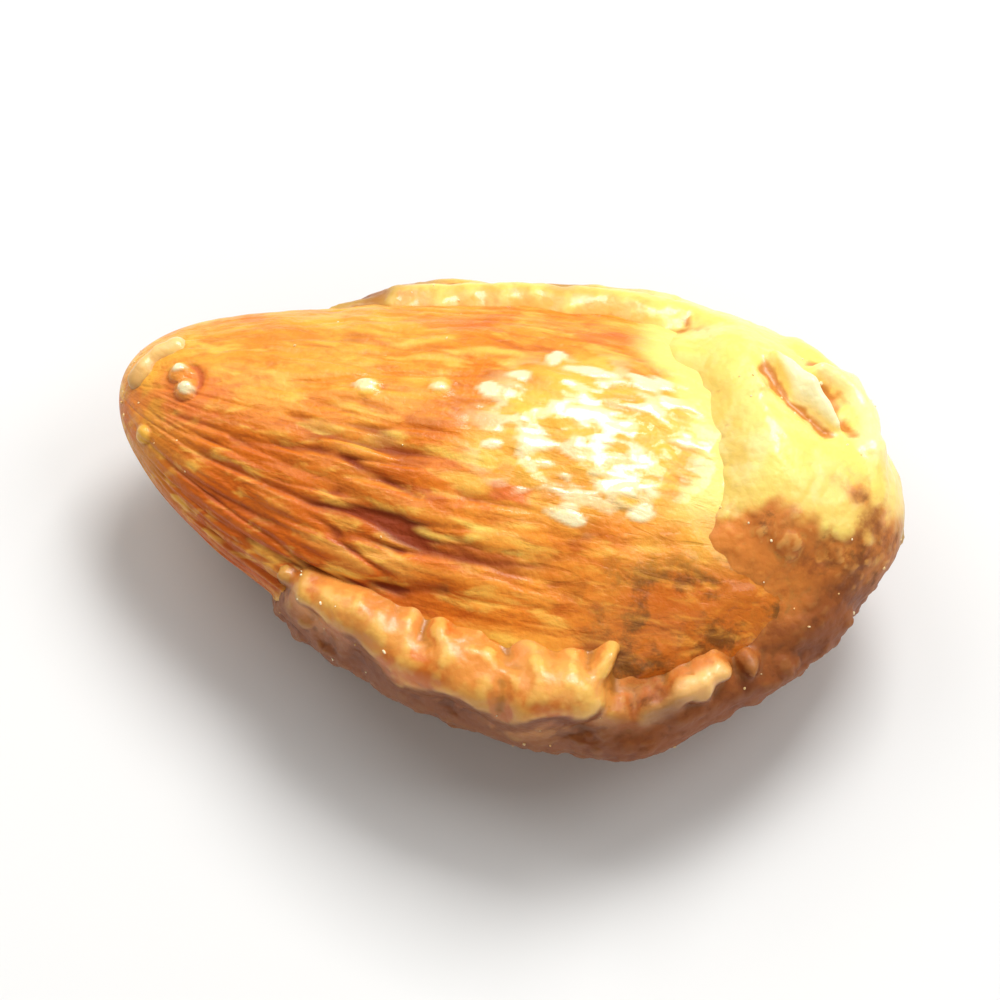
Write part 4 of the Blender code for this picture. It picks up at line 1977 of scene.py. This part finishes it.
@dataclass(frozen=True)
class PaperFinish:
    """The plain white surface that the almond lies on."""

    white: Colour = (0.8, 0.8, 0.79)
    roughness: float = 0.8

    def build(self) -> bpy.types.Material:
        """Builds the paper's material.

        Returns:
            The material.
        """
        material, _, shader = new_material("paper")
        shader.inputs["Base Color"].default_value = (*self.white, 1.0)
        shader.inputs["Roughness"].default_value = self.roughness
        return material


class LampShape(Enum):
    """The shapes of a soft lamp's face."""

    SQUARE = "SQUARE"
    DISC = "DISK"


@dataclass(frozen=True)
class SoftLamp:
    """A soft lamp that faces the almond."""

    name: str
    shape: LampShape
    azimuth: float
    elevation: float
    distance: float
    size: float
    watts: float
    colour: Colour = (1.0, 1.0, 1.0)


@dataclass(frozen=True)
class Studio:
    """The floor, the lamps and the camera."""

    camera_azimuth: float = 12.8
    camera_elevation: float = 66.0
    lens: float = 280.0
    framed_width: float = 35.0 * MM
    floor_size: float = 3.0
    sky: float = 0.3
    sky_mirrored: float = 0.1
    lamps: tuple[SoftLamp, ...] = (
        SoftLamp("window_light", LampShape.SQUARE, 171.0, 54.0, 0.45, 0.2, 1.7),
        SoftLamp("left_light", LampShape.SQUARE, 235.0, 50.0, 0.5, 0.3, 0.55),
        SoftLamp("right_light", LampShape.SQUARE, 112.0, 52.0, 0.5, 0.25, 0.55),
        SoftLamp("front_fill", LampShape.DISC, 30.0, 45.0, 0.6, 0.35, 0.28, (1.0, 0.86, 0.66)),
    )

    def direction(self, azimuth: float, elevation: float) -> Vector:
        """Finds the way from the almond to a lamp or the camera.

        Args:
            azimuth: Degrees round the almond: 0 is the front and 90 the right.
            elevation: Degrees above the floor.

        Returns:
            The way, 1 long.
        """
        turn, rise = math.radians(azimuth), math.radians(elevation)
        return Vector(
            (math.sin(turn) * math.cos(rise), -math.cos(turn) * math.cos(rise), math.sin(rise))
        )

    def face(self, item: bpy.types.Object, target: Vector, way: Vector, distance: float) -> None:
        """Puts a lamp or the camera in its place, facing the target.

        Args:
            item: The lamp or the camera.
            target: The point that it faces.
            way: The way from the target to it.
            distance: How far away it is.
        """
        item.location = target + way * distance
        item.rotation_mode = "QUATERNION"
        item.rotation_quaternion = (-way).to_track_quat("-Z", "Y")

    def build(self, middle: Vector) -> None:
        """Builds the studio.

        Args:
            middle: The point that the camera and the lamps face.
        """
        bpy.ops.mesh.primitive_plane_add(size=self.floor_size)
        floor = bpy.context.object
        floor.name = "floor"
        floor.data.materials.append(PaperFinish().build())
        floor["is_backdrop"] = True
        for lamp in self.lamps:
            data = bpy.data.lights.new(lamp.name, "AREA")
            data.shape = lamp.shape.value
            data.size = lamp.size
            data.energy = lamp.watts
            data.color = lamp.colour
            item = bpy.data.objects.new(lamp.name, data)
            bpy.context.scene.collection.objects.link(item)
            self.face(item, middle, self.direction(lamp.azimuth, lamp.elevation), lamp.distance)
        camera = bpy.data.objects.new("camera", bpy.data.cameras.new("camera"))
        camera.data.lens = self.lens
        distance = self.framed_width * self.lens / camera.data.sensor_width
        bpy.context.scene.collection.objects.link(camera)
        way = self.direction(self.camera_azimuth, self.camera_elevation)
        self.face(camera, middle, way, distance)
        camera.data.clip_start = 0.01
        bpy.context.scene.camera = camera
        world = bpy.data.worlds.new("sky")
        world.use_nodes = True
        sketch = NodeSketch(world.node_tree)
        mirrored = sketch.add("LightPath").outputs["Is Glossy Ray"]
        strength = sketch.maths("MULTIPLY_ADD", mirrored, self.sky_mirrored - self.sky, self.sky)
        background = world.node_tree.nodes["Background"]
        background.inputs["Color"].default_value = (1.0, 1.0, 1.0, 1.0)
        sketch.feed(background.inputs["Strength"], strength)
        bpy.context.scene.world = world
        bpy.context.scene.view_settings.view_transform = "Standard"


def main() -> None:
    """Builds the almond's looks piece by piece."""
    logging.basicConfig(level=logging.INFO, format="%(name)s: %(message)s")
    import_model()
    packed_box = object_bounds()
    effects = SurfaceEffects(patches_group(), grain_group(), streaks_group())
    form = KernelForm()
    window = Window(form)
    skin = AlmondSkin(form, window).build(SkinFinish().build(effects))
    log.info("skin: %d faces", len(skin.data.polygons))
    coat = ToffeeCoat(form, window).build(ToffeeFinish().build(effects))
    log.info("coat: %d faces", len(coat.data.polygons))
    grains = SugarGrains().build(coat, skin, SugarFinish().build(effects))
    log.info("sugar grains: %d faces", len(grains.data.polygons))
    low, high = packed_box
    Studio().build(0.5 * (low + high))


if __name__ == "__main__":
    main()
